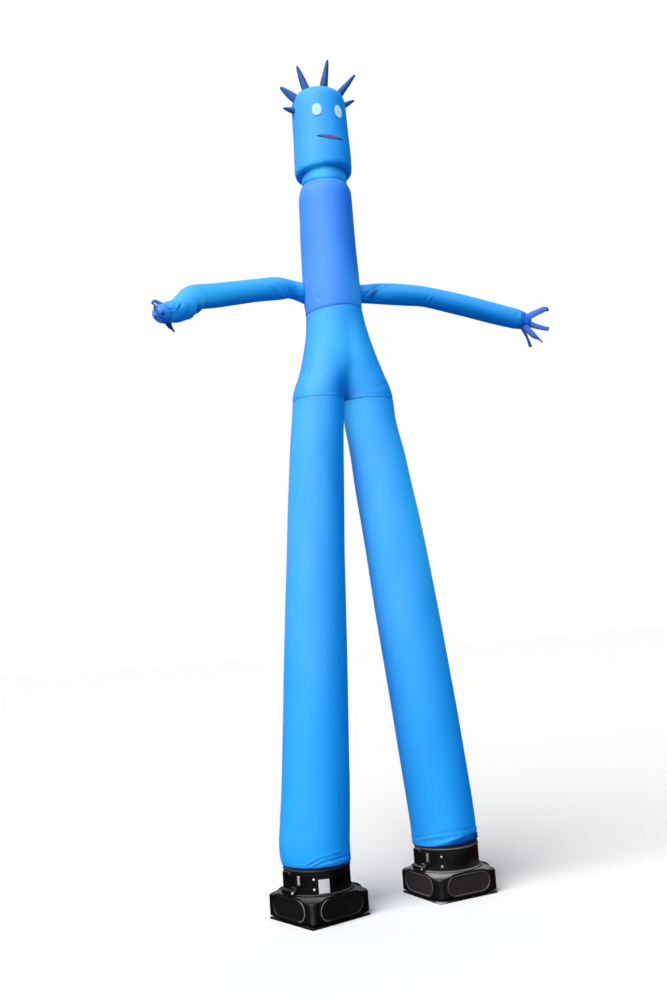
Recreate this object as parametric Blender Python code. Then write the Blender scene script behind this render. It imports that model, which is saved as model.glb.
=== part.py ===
"""An inflatable air dancer with two legs, standing on its two fan blowers.

Metres, +Z up. The figure faces -Y and its two blowers stand side by side along X.
Every cloth piece is one closed solid of the shape that the air blows it into.
"""
import math
from collections import namedtuple

import bmesh
import bpy
from mathutils import Matrix, Vector

# Driving dimensions
GAP = 0.0003                # clearance between neighbouring pieces
BLOWERS_AT = {"left": -0.524, "right": 0.514}
BLOWER_YAWS = {"left": math.radians(14.7), "right": math.radians(4.5)}

PLATE_SIDE = 0.500
PLATE_HEIGHT = 0.012
HOUSING_SIDE = 0.520
HOUSING_CORNER = 0.050
HOUSING_TOP = 0.190
HOUSING_FALL = 0.230        # slope of the housing's top outside the flange, towards its corners
GRILLE_HALF_LENGTH = 0.185
GRILLE_RADIUS = 0.072
GRILLE_HEIGHT = 0.106       # height of a grille's middle above the ground
GRILLE_RECESS = 0.008
GRILLE_PROUD = 0.003
GRILLE_RIM = 0.008
GRILLE_PANEL_DEPTH = 0.006
FLANGE_RADIUS = 0.252
FLANGE_HOLE = 0.205
FLANGE_HEIGHT = 0.012
COLLAR_RADIUS = 0.2325
COLLAR_WALL = 0.006
COLLAR_HEIGHT = 0.154
LIP = 0.004                 # the collar's rolled rim stands out this far
CUFF_HEIGHT = 0.038
CUFF_THICKNESS = 0.005
HANG_CLEARANCE = 0.0038     # between the cuff and the cloth that hangs over it
TUCK_DEPTH = 0.055          # how far a leg's hem reaches down inside the collar

WAIST = 4.357
WAIST_SLOPE_X = 0.085       # the waist seam climbs towards +X
WAIST_SLOPE_Y = -0.035
HIP_SEAM = 3.670
NECK_SEAM = 5.374
CHIN_SEAM = 5.455
HANG_SLOPES = {"left": -0.015, "right": 0.060}     # tilt of the edge of the cloth over each cuff
FACE_TURN = math.radians(-4.4)
CLOTH_PATCH = 0.0015        # thickness of the eyes, the mouth and the label
PATCH_LIFT = 0.0009         # clearance under the eyes and the mouth

# Sides of the rings that the cloth is drawn with
LEG_SIDES = 28
HIP_SIDES = 44
BODY_SIDES = 36
ARM_SIDES = 18
FINGER_SIDES = 8

FLANGE_BOTTOM = HOUSING_TOP + GAP
COLLAR_BOTTOM = FLANGE_BOTTOM + FLANGE_HEIGHT + GAP
COLLAR_TOP = COLLAR_BOTTOM + COLLAR_HEIGHT
CUFF_BOTTOM = COLLAR_TOP + GAP
CUFF_TOP = CUFF_BOTTOM + CUFF_HEIGHT
CUFF_RADIUS = COLLAR_RADIUS - COLLAR_WALL + 0.0008 + CUFF_THICKNESS
HANG_RADIUS = CUFF_RADIUS + HANG_CLEARANCE
TUCK_RADIUS = COLLAR_RADIUS - COLLAR_WALL - 2 * GAP
HEM = COLLAR_TOP - TUCK_DEPTH

# Level sections of the upright tubes: height, centre and radius
Level = namedtuple("Level", "z x r")
# Level sections of the hips: two round lobes of radius r, each half_spread from the centre
Lobes = namedtuple("Lobes", "z x half_spread r")
# Sections square to the run of an arm, a finger or a hair spike
Section = namedtuple("Section", "x y z r")

LEFT_LEG = (
    Level(0.374, -0.524, 0.2410),
    Level(0.390, -0.525, 0.2440),
    Level(0.420, -0.528, 0.2460),
    Level(0.490, -0.529, 0.2480),
    Level(0.650, -0.515, 0.2460),
    Level(0.820, -0.499, 0.2430),
    Level(1.150, -0.475, 0.2385),
    Level(1.820, -0.427, 0.2275),
    Level(2.510, -0.377, 0.2135),
    Level(3.040, -0.333, 0.2040),
    Level(3.310, -0.310, 0.2000),
    Level(3.410, -0.300, 0.1985),
    Level(3.500, -0.289, 0.1970),
    Level(HIP_SEAM - GAP, -0.268, 0.1975),
)
RIGHT_LEG = (
    Level(0.384, 0.508, 0.2415),
    Level(0.400, 0.508, 0.2415),
    Level(0.430, 0.506, 0.2400),
    Level(0.520, 0.500, 0.2400),
    Level(0.700, 0.485, 0.2420),
    Level(1.050, 0.450, 0.2425),
    Level(1.760, 0.373, 0.2400),
    Level(2.120, 0.332, 0.2370),
    Level(2.490, 0.289, 0.2310),
    Level(3.040, 0.216, 0.2155),
    Level(3.310, 0.181, 0.2050),
    Level(3.410, 0.162, 0.2005),
    Level(3.500, 0.147, 0.1975),
    Level(HIP_SEAM - GAP, 0.133, 0.1970),
)
HIPS = (
    Lobes(HIP_SEAM, -0.067, 0.1965, 0.1980),
    Lobes(3.720, -0.067, 0.1920, 0.1985),
    Lobes(3.780, -0.066, 0.1740, 0.1995),
    Lobes(3.870, -0.066, 0.1360, 0.2000),
    Lobes(3.965, -0.070, 0.1030, 0.2010),
    Lobes(4.060, -0.075, 0.0730, 0.2025),
    Lobes(4.150, -0.079, 0.0460, 0.2050),
    Lobes(4.230, -0.084, 0.0250, 0.2080),
    Lobes(4.300, -0.089, 0.0100, 0.2115),
    Lobes(WAIST, -0.094, 0.0000, 0.2140),
)
TORSO = (
    Level(WAIST + GAP, -0.094, 0.2140),
    Level(4.420, -0.096, 0.2170),
    Level(4.500, -0.098, 0.2185),
    Level(4.700, -0.101, 0.2160),
    Level(4.950, -0.103, 0.2115),
    Level(5.090, -0.101, 0.2085),
    Level(5.190, -0.101, 0.2070),
    Level(5.260, -0.100, 0.2050),
    Level(5.310, -0.098, 0.1990),
    Level(5.345, -0.098, 0.1880),
    Level(5.364, -0.098, 0.1760),
    Level(NECK_SEAM, -0.098, 0.1680),
)
NECK = (
    Level(NECK_SEAM + GAP, -0.098, 0.1680),
    Level(5.385, -0.098, 0.1715),
    Level(5.405, -0.098, 0.1745),
    Level(5.430, -0.099, 0.1745),
    Level(CHIN_SEAM, -0.100, 0.1710),
)
HEAD = (
    Level(CHIN_SEAM + GAP, -0.100, 0.1710),
    Level(5.4510, -0.100, 0.1850),
    Level(5.4510, -0.100, 0.1970),
    Level(5.4560, -0.100, 0.2080),
    Level(5.4690, -0.100, 0.2165),
    Level(5.4900, -0.100, 0.2210),
    Level(5.540, -0.099, 0.2215),
    Level(5.720, -0.099, 0.2175),
    Level(5.820, -0.101, 0.2150),
    Level(5.920, -0.102, 0.2135),
    Level(6.000, -0.103, 0.2115),
    Level(6.045, -0.104, 0.2070),
    Level(6.080, -0.103, 0.1950),
    Level(6.105, -0.102, 0.1760),
    Level(6.125, -0.101, 0.1430),
    Level(6.140, -0.100, 0.0950),
    Level(6.147, -0.100, 0.0450),
)
LEFT_ARM = (
    Section(-0.250, 0.085, 4.517, 0.0780),
    Section(-0.304, 0.080, 4.532, 0.0745),
    Section(-0.411, 0.065, 4.548, 0.0705),
    Section(-0.514, 0.040, 4.539, 0.0840),
    Section(-0.715, 0.000, 4.497, 0.0840),
    Section(-0.928, -0.050, 4.441, 0.0865),
    Section(-1.080, -0.085, 4.402, 0.0885),
    Section(-1.165, -0.113, 4.381, 0.0885),
    Section(-1.208, -0.130, 4.369, 0.0895),
    Section(-1.246, -0.147, 4.345, 0.0985),
    Section(-1.322, -0.180, 4.281, 0.0905),
    Section(-1.385, -0.200, 4.235, 0.0820),
    Section(-1.441, -0.226, 4.214, 0.0755),
    Section(-1.475, -0.245, 4.198, 0.0730),
    Section(-1.500, -0.264, 4.188, 0.0695),
)
RIGHT_ARM = (
    Section(0.060, -0.003, 4.517, 0.0700),
    Section(0.148, -0.010, 4.525, 0.0700),
    Section(0.258, -0.020, 4.532, 0.0785),
    Section(0.378, -0.030, 4.535, 0.0835),
    Section(0.522, -0.040, 4.534, 0.0830),
    Section(0.672, -0.050, 4.529, 0.0795),
    Section(0.760, -0.057, 4.516, 0.0795),
    Section(0.860, -0.065, 4.499, 0.0820),
    Section(1.047, -0.080, 4.464, 0.0835),
    Section(1.263, -0.095, 4.419, 0.0835),
    Section(1.430, -0.105, 4.387, 0.0815),
    Section(1.504, -0.110, 4.373, 0.0780),
)
PALMS = {
    "left": (
        Section(-1.520, -0.279, 4.182, 0.0640),
        Section(-1.540, -0.292, 4.177, 0.0540),
        Section(-1.557, -0.303, 4.172, 0.0410),
        Section(-1.569, -0.311, 4.170, 0.0240),
    ),
    "right": (
        Section(1.538, -0.113, 4.366, 0.0710),
        Section(1.574, -0.117, 4.358, 0.0600),
        Section(1.598, -0.120, 4.352, 0.0460),
        Section(1.609, -0.121, 4.350, 0.0250),
    ),
}
FINGERS = {
    "left": (
        (
            Section(-1.490, -0.268, 4.222, 0.0190),
            Section(-1.512, -0.275, 4.243, 0.0165),
            Section(-1.538, -0.285, 4.255, 0.0130),
            Section(-1.565, -0.295, 4.261, 0.0120),
            Section(-1.578, -0.300, 4.254, 0.0100),
            Section(-1.583, -0.300, 4.238, 0.0080),
        ),
        (
            Section(-1.520, -0.290, 4.200, 0.0160),
            Section(-1.548, -0.306, 4.213, 0.0130),
            Section(-1.566, -0.318, 4.219, 0.0100),
            Section(-1.578, -0.330, 4.224, 0.0070),
        ),
        (
            Section(-1.535, -0.300, 4.184, 0.0150),
            Section(-1.565, -0.330, 4.185, 0.0130),
            Section(-1.580, -0.352, 4.188, 0.0100),
            Section(-1.588, -0.370, 4.192, 0.0070),
        ),
        (
            Section(-1.520, -0.285, 4.140, 0.0180),
            Section(-1.550, -0.305, 4.133, 0.0150),
            Section(-1.567, -0.322, 4.137, 0.0110),
            Section(-1.575, -0.336, 4.149, 0.0075),
        ),
        (
            Section(-1.470, -0.245, 4.145, 0.0210),
            Section(-1.459, -0.240, 4.122, 0.0195),
            Section(-1.448, -0.237, 4.104, 0.0150),
            Section(-1.433, -0.235, 4.089, 0.0085),
            Section(-1.420, -0.235, 4.070, 0.0050),
        ),
    ),
    "right": (
        (
            Section(1.570, -0.115, 4.378, 0.0260),
            Section(1.605, -0.116, 4.400, 0.0255),
            Section(1.651, -0.120, 4.425, 0.0265),
            Section(1.698, -0.130, 4.446, 0.0245),
            Section(1.743, -0.135, 4.465, 0.0230),
            Section(1.771, -0.140, 4.470, 0.0180),
            Section(1.784, -0.140, 4.456, 0.0120),
        ),
        (
            Section(1.560, -0.120, 4.350, 0.0280),
            Section(1.600, -0.124, 4.336, 0.0260),
            Section(1.632, -0.135, 4.324, 0.0235),
            Section(1.682, -0.150, 4.307, 0.0200),
            Section(1.748, -0.170, 4.290, 0.0175),
        ),
        (
            Section(1.538, -0.137, 4.319, 0.0220),
            Section(1.559, -0.147, 4.284, 0.0235),
            Section(1.584, -0.156, 4.252, 0.0245),
            Section(1.615, -0.162, 4.222, 0.0200),
            Section(1.645, -0.163, 4.204, 0.0105),
            Section(1.680, -0.170, 4.175, 0.0050),
        ),
        (
            Section(1.546, -0.085, 4.330, 0.0180),
            Section(1.565, -0.080, 4.302, 0.0150),
            Section(1.587, -0.078, 4.261, 0.0115),
            Section(1.605, -0.078, 4.215, 0.0105),
            Section(1.615, -0.078, 4.185, 0.0130),
            Section(1.623, -0.078, 4.159, 0.0125),
        ),
    ),
}
# Hair spikes: foot on the head, free tip, and the radius just above the foot
Spike = namedtuple("Spike", "foot tip r")
HAIR = (
    Spike((-0.305, 0.000, 5.965), (-0.400, 0.000, 5.976), 0.0230),
    Spike((-0.285, 0.000, 6.060), (-0.415, 0.000, 6.144), 0.0340),
    Spike((-0.174, 0.000, 6.085), (-0.263, 0.000, 6.342), 0.0340),
    Spike((-0.066, 0.000, 6.110), (0.003, 0.000, 6.437), 0.0330),
    Spike((0.030, 0.000, 6.095), (0.236, 0.000, 6.350), 0.0290),
    Spike((0.085, 0.000, 6.052), (0.214, 0.000, 6.133), 0.0230),
)
HAIR_PROFILE = ((0.00, 0.92), (0.22, 1.00), (0.50, 0.82), (0.78, 0.56), (0.94, 0.36), (1.00, 0.22))

EYE_HALF_WIDTH = 0.039
EYE_HALF_HEIGHT = 0.052
EYE_LEVEL = 5.900
EYE_SPREAD = math.radians(24.4)
MOUTH_LEVEL = 5.688
MOUTH_HALF_WIDTH = 0.116
MOUTH_HALF_HEIGHT = 0.023
MOUTH_DROP = 0.012          # the middle of the mouth hangs this far below its corners

# Angles round a collar, seen from above and counted from the blower's own front
BOLT_ANGLE = math.radians(-43)
BOLT_LEVELS = (0.234, 0.300)
BOLT_RADIUS = 0.009
BOLT_HEIGHT = 0.006
CLIP_ANGLE = math.radians(-70)
# The hinge slab: its top at each angle, from its rounded upright part to the foot beside it
SLAB_TOPS = (
    (-111.0, 0.331), (-109.0, 0.339), (-106.0, 0.3445), (-98.0, 0.3446), (-90.0, 0.3445), (-87.0, 0.339),
    (-85.0, 0.331), (-83.5, 0.2480), (-77.0, 0.2440), (-73.5, 0.2320),
)
SLAB_DEPTH = 0.015
HINGE_BOLT_ANGLE = math.radians(-79)
FOOT_REACH = 0.0095         # the slab's foot stands out past the flange and down beside it
FOOT_BOTTOM = 0.1925
FOOT_TOP = 0.222
LABEL_ANGLE = math.radians(-26.3)
LABEL_LEVELS = (0.2060, 0.2985)

Finish = namedtuple("Finish", "colour roughness metallic")
FINISHES = {
    "sky_cloth": Finish((0.045, 0.350, 0.850), 0.45, 0.0),
    "royal_cloth": Finish((0.080, 0.250, 0.850), 0.45, 0.0),
    "deep_cloth": Finish((0.045, 0.110, 0.560), 0.50, 0.0),
    "white_cloth": Finish((0.850, 0.900, 0.920), 0.55, 0.0),
    "red_cloth": Finish((0.450, 0.060, 0.130), 0.55, 0.0),
    "black_webbing": Finish((0.012, 0.012, 0.020), 0.80, 0.0),
    "black_plastic": Finish((0.010, 0.009, 0.011), 0.35, 0.0),
    "mesh_grille": Finish((0.018, 0.016, 0.018), 0.50, 0.0),
    "steel": Finish((0.600, 0.600, 0.610), 0.30, 1.0),
    "paper": Finish((0.780, 0.770, 0.800), 0.60, 0.0),
}


def clear_scene():
    for obj in list(bpy.data.objects):
        bpy.data.objects.remove(obj, do_unlink=True)


def material(name):
    found = bpy.data.materials.get(name)
    if found:
        return found
    finish = FINISHES[name]
    made = bpy.data.materials.new(name)
    made.use_nodes = True
    shader = made.node_tree.nodes["Principled BSDF"]
    shader.inputs["Base Color"].default_value = (*finish.colour, 1.0)
    shader.inputs["Roughness"].default_value = finish.roughness
    shader.inputs["Metallic"].default_value = finish.metallic
    made.diffuse_color = (*finish.colour, 1.0)
    return made


def empty(name, location=(0.0, 0.0, 0.0), yaw=0.0, parent=None):
    made = bpy.data.objects.new(name, None)
    bpy.context.scene.collection.objects.link(made)
    made.location = location
    made.rotation_euler = (0.0, 0.0, yaw)
    made.parent = parent
    return made


def piece(name, mesh_maker, finish, parent):
    """A new object from a filled bmesh, its faces turned outwards and shaded smooth."""
    bm = bmesh.new()
    mesh_maker(bm)
    bmesh.ops.recalc_face_normals(bm, faces=bm.faces)
    mesh = bpy.data.meshes.new(name)
    bm.to_mesh(mesh)
    bm.free()
    mesh.shade_smooth()
    mesh.set_sharp_from_angle(angle=math.radians(40))
    obj = bpy.data.objects.new(name, mesh)
    bpy.context.scene.collection.objects.link(obj)
    obj.data.materials.append(material(finish))
    obj.parent = parent
    return obj


def cutter(name, mesh_maker, parent):
    obj = piece(name, mesh_maker, "black_plastic", parent)
    obj.hide_render = True
    obj.display_type = "WIRE"
    return obj


def cut(obj, tool):
    modifier = obj.modifiers.new(tool.name, "BOOLEAN")
    modifier.operation = "DIFFERENCE"
    modifier.object = tool


def skin(bm, rings):
    """Quads between rings of equal length, with both ends closed."""
    verts = [[bm.verts.new(point) for point in ring] for ring in rings]
    for low, high in zip(verts, verts[1:]):
        for i in range(len(low)):
            j = (i + 1) % len(low)
            bm.faces.new((low[i], low[j], high[j], high[i]))
    bm.faces.new(list(reversed(verts[0])))
    bm.faces.new(verts[-1])


def circle(count):
    return [2 * math.pi * i / count for i in range(count)]


def ring_of(row, count, reach_at, slope):
    """A ring about a section's centre, level or lying in a slope given along X and Y."""
    ring = []
    for turn in circle(count):
        reach = reach_at(turn)
        x, y = reach * math.cos(turn), reach * math.sin(turn)
        ring.append((row.x + x, y, row.z + slope[0] * x + slope[1] * y))
    return ring


def round_ring(row, count, grow=0.0, slope=(0.0, 0.0)):
    return ring_of(row, count, lambda turn: row.r + grow, slope)


def lobed_ring(row, count, slope=(0.0, 0.0)):
    """The outline of two round lobes side by side, as it is met from the point between them."""
    def reach_at(turn):
        inner = row.half_spread * math.sin(turn)
        return row.half_spread * abs(math.cos(turn)) + math.sqrt(row.r**2 - inner**2)

    return ring_of(row, count, reach_at, slope)


def run_rings(sections, count, grow=0.0):
    """Rings square to the run of a bent tube, turned as little as possible from one to the next."""
    points = [Vector(section[:3]) for section in sections]
    rings = []
    side = None
    for i, section in enumerate(sections):
        along = (points[min(i + 1, len(points) - 1)] - points[max(i - 1, 0)]).normalized()
        if side is None:
            side = along.orthogonal()
        side = (side - along * side.dot(along)).normalized()
        up = along.cross(side)
        radius = section.r + grow
        rings.append(
            [points[i] + radius * (math.cos(t) * side + math.sin(t) * up) for t in circle(count)]
        )
    return rings


def grown_about(rings, factor):
    """The same rings, a little larger about their middle."""
    points = [Vector(point) for ring in rings for point in ring]
    middle = sum(points, Vector()) / len(points)
    return [[middle + factor * (Vector(point) - middle) for point in ring] for ring in rings]


def leg(side, rows, parent):
    """A leg with its hem tucked down inside the collar, and cloth that hangs over the cuff."""
    centre = BLOWERS_AT[side]
    slope = (HANG_SLOPES[side], 0.0)
    tucked = (
        Level(HEM, centre, TUCK_RADIUS - 0.004),
        Level(HEM + 0.012, centre, TUCK_RADIUS),
        Level(CUFF_TOP + 0.001, centre, TUCK_RADIUS),
        Level(CUFF_TOP + 0.004, centre, TUCK_RADIUS + 0.003),
        Level(CUFF_TOP + 0.0045, centre, HANG_RADIUS - 0.002),
        Level(CUFF_TOP + 0.002, centre, HANG_RADIUS),
    )
    rings = [round_ring(row, LEG_SIDES) for row in tucked]
    edge = Level(rows[0].z - 0.003, centre, HANG_RADIUS)
    rings.append(round_ring(edge, LEG_SIDES, slope=slope))
    rings.append(round_ring(rows[0], LEG_SIDES, slope=slope))
    rings += [round_ring(row, LEG_SIDES) for row in rows[1:]]
    piece("leg_" + side, lambda bm: skin(bm, rings), "sky_cloth", parent)


def waist_slope(row):
    return (WAIST_SLOPE_X, WAIST_SLOPE_Y) if row in (HIPS[-1], TORSO[0]) else (0.0, 0.0)


def torso_rings(grow=0.0):
    return [round_ring(row, BODY_SIDES, grow, waist_slope(row)) for row in TORSO]


def build_body(parent):
    leg("left", LEFT_LEG, parent)
    leg("right", RIGHT_LEG, parent)
    hip_rings = [lobed_ring(row, HIP_SIDES, waist_slope(row)) for row in HIPS]
    piece("hips", lambda bm: skin(bm, hip_rings), "sky_cloth", parent)
    piece("torso", lambda bm: skin(bm, torso_rings()), "royal_cloth", parent)
    neck_rings = [round_ring(row, BODY_SIDES) for row in NECK]
    piece("neck", lambda bm: skin(bm, neck_rings), "sky_cloth", parent)
    head_rings = [round_ring(row, BODY_SIDES) for row in HEAD]
    piece("head", lambda bm: skin(bm, head_rings), "sky_cloth", parent)


def moved(ring, along, distance):
    return [point + distance * along for point in ring]


def build_arms(parent):
    """Each arm and its royal blue palm are one run of cloth, parted at the wrist seam."""
    torso_tool = cutter("torso_cutter", lambda bm: skin(bm, torso_rings(GAP)), parent)
    for side, sections in (("left", LEFT_ARM), ("right", RIGHT_ARM)):
        limb = sections + PALMS[side]
        rings = run_rings(limb, ARM_SIDES)
        seam = len(sections)
        arm = piece("arm_" + side, lambda bm: skin(bm, rings[:seam]), "sky_cloth", parent)
        cut(arm, torso_tool)
        at_wrist = (Vector(limb[seam][:3]) - Vector(limb[seam - 1][:3])).normalized()
        palm_rings = [moved(rings[seam - 1], at_wrist, GAP)] + rings[seam:]
        piece("palm_" + side, lambda bm: skin(bm, palm_rings), "royal_cloth", parent)
        grown = run_rings(limb, ARM_SIDES, grow=GAP)
        at_tip = (Vector(limb[-1][:3]) - Vector(limb[-2][:3])).normalized()
        grown.append(moved(grown[-1], at_tip, GAP))
        limb_tool = cutter("limb_cutter_" + side, lambda bm: skin(bm, grown), parent)
        build_fingers(side, limb_tool, parent)


def build_fingers(side, limb_tool, parent):
    """Fingers sewn to the palm, cut where they meet its cloth."""
    for number, sections in enumerate(FINGERS[side], start=1):
        rings = run_rings(sections, FINGER_SIDES)
        finger = piece(f"finger_{side}_{number}", lambda bm: skin(bm, rings), "deep_cloth", parent)
        cut(finger, limb_tool)


def build_hair(parent):
    head_rings = grown_about([round_ring(row, BODY_SIDES) for row in HEAD], 1.0025)
    head_tool = cutter("head_cutter", lambda bm: skin(bm, head_rings), parent)
    for number, spike in enumerate(HAIR, start=1):
        foot, tip = Vector(spike.foot), Vector(spike.tip)
        sections = [
            Section(*foot.lerp(tip, along), spike.r * swell) for along, swell in HAIR_PROFILE
        ]
        rings = run_rings(sections, FINGER_SIDES)
        hair = piece(f"hair_{number}", lambda bm: skin(bm, rings), "deep_cloth", parent)
        cut(hair, head_tool)


def head_at(z):
    """Centre x and radius of the head at a height, straight between its sections."""
    for low, high in zip(HEAD, HEAD[1:]):
        if low.z <= z <= high.z:
            share = (z - low.z) / (high.z - low.z)
            return low.x + share * (high.x - low.x), low.r + share * (high.r - low.r)
    raise ValueError("no head at this height")


def on_head(angle, z, lift):
    centre, radius = head_at(z)
    reach = radius + lift
    return Vector((centre + reach * math.sin(angle), -reach * math.cos(angle), z))


def head_patch(name, columns, angle, level, finish, parent, drop=0.0):
    """A thin patch on the head, from columns of (distance along the width, half height).

    drop lowers the middle of the patch below its two ends.
    """
    _, radius = head_at(level)
    half_width = columns[-1][0]
    shares = (-1.0, -0.5, 0.0, 0.5, 1.0)
    rings = []
    for u, half_height in columns:
        sag = drop * (1.0 - (u / half_width) ** 2)
        column = [level - sag + share * half_height for share in shares]
        turn = angle + u / radius
        inner = [on_head(turn, z, PATCH_LIFT) for z in column]
        outer = [on_head(turn, z, PATCH_LIFT + CLOTH_PATCH) for z in reversed(column)]
        rings.append(inner + outer)
    piece(name, lambda bm: skin(bm, rings), finish, parent)


def build_face(parent):
    turns = [math.radians(-84 + 168 * i / 10) for i in range(11)]
    eye = [(EYE_HALF_WIDTH * math.sin(t), EYE_HALF_HEIGHT * math.cos(t)) for t in turns]
    for side, turn in (("left", -EYE_SPREAD), ("right", EYE_SPREAD)):
        head_patch("eye_" + side, eye, FACE_TURN + turn, EYE_LEVEL, "white_cloth", parent)
    # A lens: its half height falls off as a parabola towards both corners
    shares = [-0.98 + 1.96 * i / 20 for i in range(21)]
    mouth = [(MOUTH_HALF_WIDTH * s, MOUTH_HALF_HEIGHT * (1 - s * s)) for s in shares]
    head_patch("mouth", mouth, FACE_TURN, MOUTH_LEVEL, "red_cloth", parent, drop=MOUTH_DROP)


def rounded_square(half, corner, z, per_corner=6):
    """A level square outline with round corners, counter-clockwise."""
    ring = []
    for quarter in range(4):
        middle = math.radians(45 + 90 * quarter)
        reach = math.sqrt(2) * (half - corner)
        centre = Vector((reach * math.cos(middle), reach * math.sin(middle), z))
        for step in range(per_corner + 1):
            turn = math.radians(90 * quarter + 90 * step / per_corner)
            ring.append(centre + corner * Vector((math.cos(turn), math.sin(turn), 0.0)))
    return ring


def stadium(half_length, radius, per_end=10):
    """An outline with two straight sides and two round ends, in the XZ plane about the origin."""
    ring = []
    for end in (1, -1):
        for step in range(per_end + 1):
            turn = math.radians(-90 + 180 * step / per_end)
            ring.append(
                (end * (half_length - radius + radius * math.cos(turn)), end * radius * math.sin(turn))
            )
    return ring


def on_wall(ring, wall, depth):
    """A stadium outline placed on one of the housing's four walls, this far out from the wall."""
    turn = Matrix.Rotation(math.radians(90 * wall), 4, "Z")
    out = -(HOUSING_SIDE / 2 + depth)
    return [turn @ Vector((x, out, GRILLE_HEIGHT + z)) for x, z in ring]


def turned_wall(bm, profile, start=0.0, stop=2 * math.pi, count=64):
    """A closed profile of (radius, height) pairs turned about the axis, all round it or over a part.

    Angles run from the front, -Y.
    """
    whole = stop - start > 2 * math.pi - 1e-6
    rows = []
    for i in range(count if whole else count + 1):
        angle = start + (stop - start) * i / count
        rows.append(
            [bm.verts.new((r * math.sin(angle), -r * math.cos(angle), z)) for r, z in profile]
        )
    for i in range(count):
        here, there = rows[i], rows[(i + 1) % len(rows)]
        for a in range(len(profile)):
            b = (a + 1) % len(profile)
            bm.faces.new((here[a], here[b], there[b], there[a]))
    if not whole:
        bm.faces.new(rows[0])
        bm.faces.new(rows[-1])


def band(inner, outer, low, high):
    """The square profile of a band."""
    return ((inner, low), (outer, low), (outer, high), (inner, high))


def housing_reach(turn):
    """Distance from the axis to the housing's wall, a square with round corners."""
    half = HOUSING_SIDE / 2
    straight = half - HOUSING_CORNER
    near, far = sorted((abs(math.cos(turn)), abs(math.sin(turn))))
    if half * near / far <= straight:
        return half / far
    middle = straight * (near + far)
    return middle + math.sqrt(middle**2 - 2 * straight**2 + HOUSING_CORNER**2)


def housing_rings():
    """The housing is drawn in above the plate, so that the plate's corners show as feet.

    Its top falls away from the round flange towards the corners.
    """
    low = ((PLATE_HEIGHT + GAP, 0.034), (0.022, 0.032), (0.031, 0.0))
    high = ((-0.010, 0.0), (-0.003, 0.0015), (0.0, 0.006))
    turns = circle(72)
    reaches = [housing_reach(turn) for turn in turns]
    rings = []
    for z, inset in low:
        rings.append([(r - inset, z, turn) for r, turn in zip(reaches, turns)])
    for drop, inset in high:
        ring = []
        for r, turn in zip(reaches, turns):
            edge = HOUSING_TOP - HOUSING_FALL * max(0.0, r - FLANGE_RADIUS)
            ring.append((r - inset, edge + drop, turn))
        rings.append(ring)
    rings.append([(FLANGE_RADIUS - 0.002, HOUSING_TOP, turn) for turn in turns])
    return [[(r * math.cos(t), r * math.sin(t), z) for r, z, t in ring] for ring in rings]


def build_housing(side, parent):
    half = PLATE_SIDE / 2
    plate = [rounded_square(half - inset, 0.004, z, 2) for z, inset in (
        (0.0, 0.0), (PLATE_HEIGHT - 0.003, 0.0), (PLATE_HEIGHT, 0.003))]
    piece("base_plate_" + side, lambda bm: skin(bm, plate), "black_plastic", parent)
    housing = piece("housing_" + side, lambda bm: skin(bm, housing_rings()), "black_plastic", parent)
    outline = stadium(GRILLE_HALF_LENGTH, GRILLE_RADIUS)
    for wall, place in enumerate(("front", "right", "back", "left")):
        pocket = [on_wall(outline, wall, depth) for depth in (-GRILLE_RECESS, 0.02)]
        cut(housing, cutter(f"pocket_{side}_{place}", lambda bm: skin(bm, pocket), parent))
        build_grille(f"grille_{side}_{place}", wall, parent)


def build_grille(name, wall, parent):
    """A rim with round ends round a panel that lies a little way back."""
    edge = (GRILLE_HALF_LENGTH - 2 * GAP, GRILLE_RADIUS - 2 * GAP)
    window = (edge[0] - GRILLE_RIM, edge[1] - GRILLE_RIM)
    rings = [
        on_wall(stadium(*edge), wall, GAP - GRILLE_RECESS),
        on_wall(stadium(*edge), wall, GRILLE_PROUD),
        on_wall(stadium(*window), wall, GRILLE_PROUD),
        on_wall(stadium(*window), wall, GRILLE_PROUD - GRILLE_PANEL_DEPTH),
    ]
    piece(name, lambda bm: skin(bm, rings), "mesh_grille", parent)


def build_collar(side, parent):
    piece(
        "flange_" + side,
        lambda bm: turned_wall(
            bm, band(FLANGE_HOLE, FLANGE_RADIUS, FLANGE_BOTTOM, FLANGE_BOTTOM + FLANGE_HEIGHT)
        ),
        "black_plastic", parent,
    )
    inner, outer = COLLAR_RADIUS - COLLAR_WALL, COLLAR_RADIUS
    profile = (
        (inner, COLLAR_BOTTOM), (outer, COLLAR_BOTTOM), (outer, COLLAR_TOP - 0.010),
        (outer + LIP, COLLAR_TOP - 0.007), (outer + LIP, COLLAR_TOP - 0.002),
        (outer + LIP - 0.002, COLLAR_TOP), (inner, COLLAR_TOP),
    )
    piece("collar_" + side, lambda bm: turned_wall(bm, profile), "black_plastic", parent)
    piece(
        "cuff_" + side,
        lambda bm: turned_wall(
            bm, band(CUFF_RADIUS - CUFF_THICKNESS, CUFF_RADIUS, CUFF_BOTTOM, CUFF_TOP), count=32
        ),
        "black_webbing", parent,
    )


def round_head(bm, angle, level, foot, radius, height):
    """A low round bolt head that stands out of the collar at an angle and a height."""
    out = Vector((math.sin(angle), -math.cos(angle), 0.0))
    across = Vector((math.cos(angle), math.sin(angle), 0.0))
    up = Vector((0.0, 0.0, 1.0))
    rings = []
    for reach, share in ((0.0, 1.0), (0.6 * height, 1.0), (height, 0.7)):
        middle = out * (foot + reach) + up * level
        rings.append(
            [middle + share * radius * (math.cos(t) * across + math.sin(t) * up) for t in circle(16)]
        )
    skin(bm, rings)


def arc_block(name, angle, half_width, profile, finish, parent, count=6):
    """A block that follows the round of the collar."""
    spread = half_width / COLLAR_RADIUS
    piece(
        name,
        lambda bm: turned_wall(bm, profile, angle - spread, angle + spread, count),
        finish, parent,
    )


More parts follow.
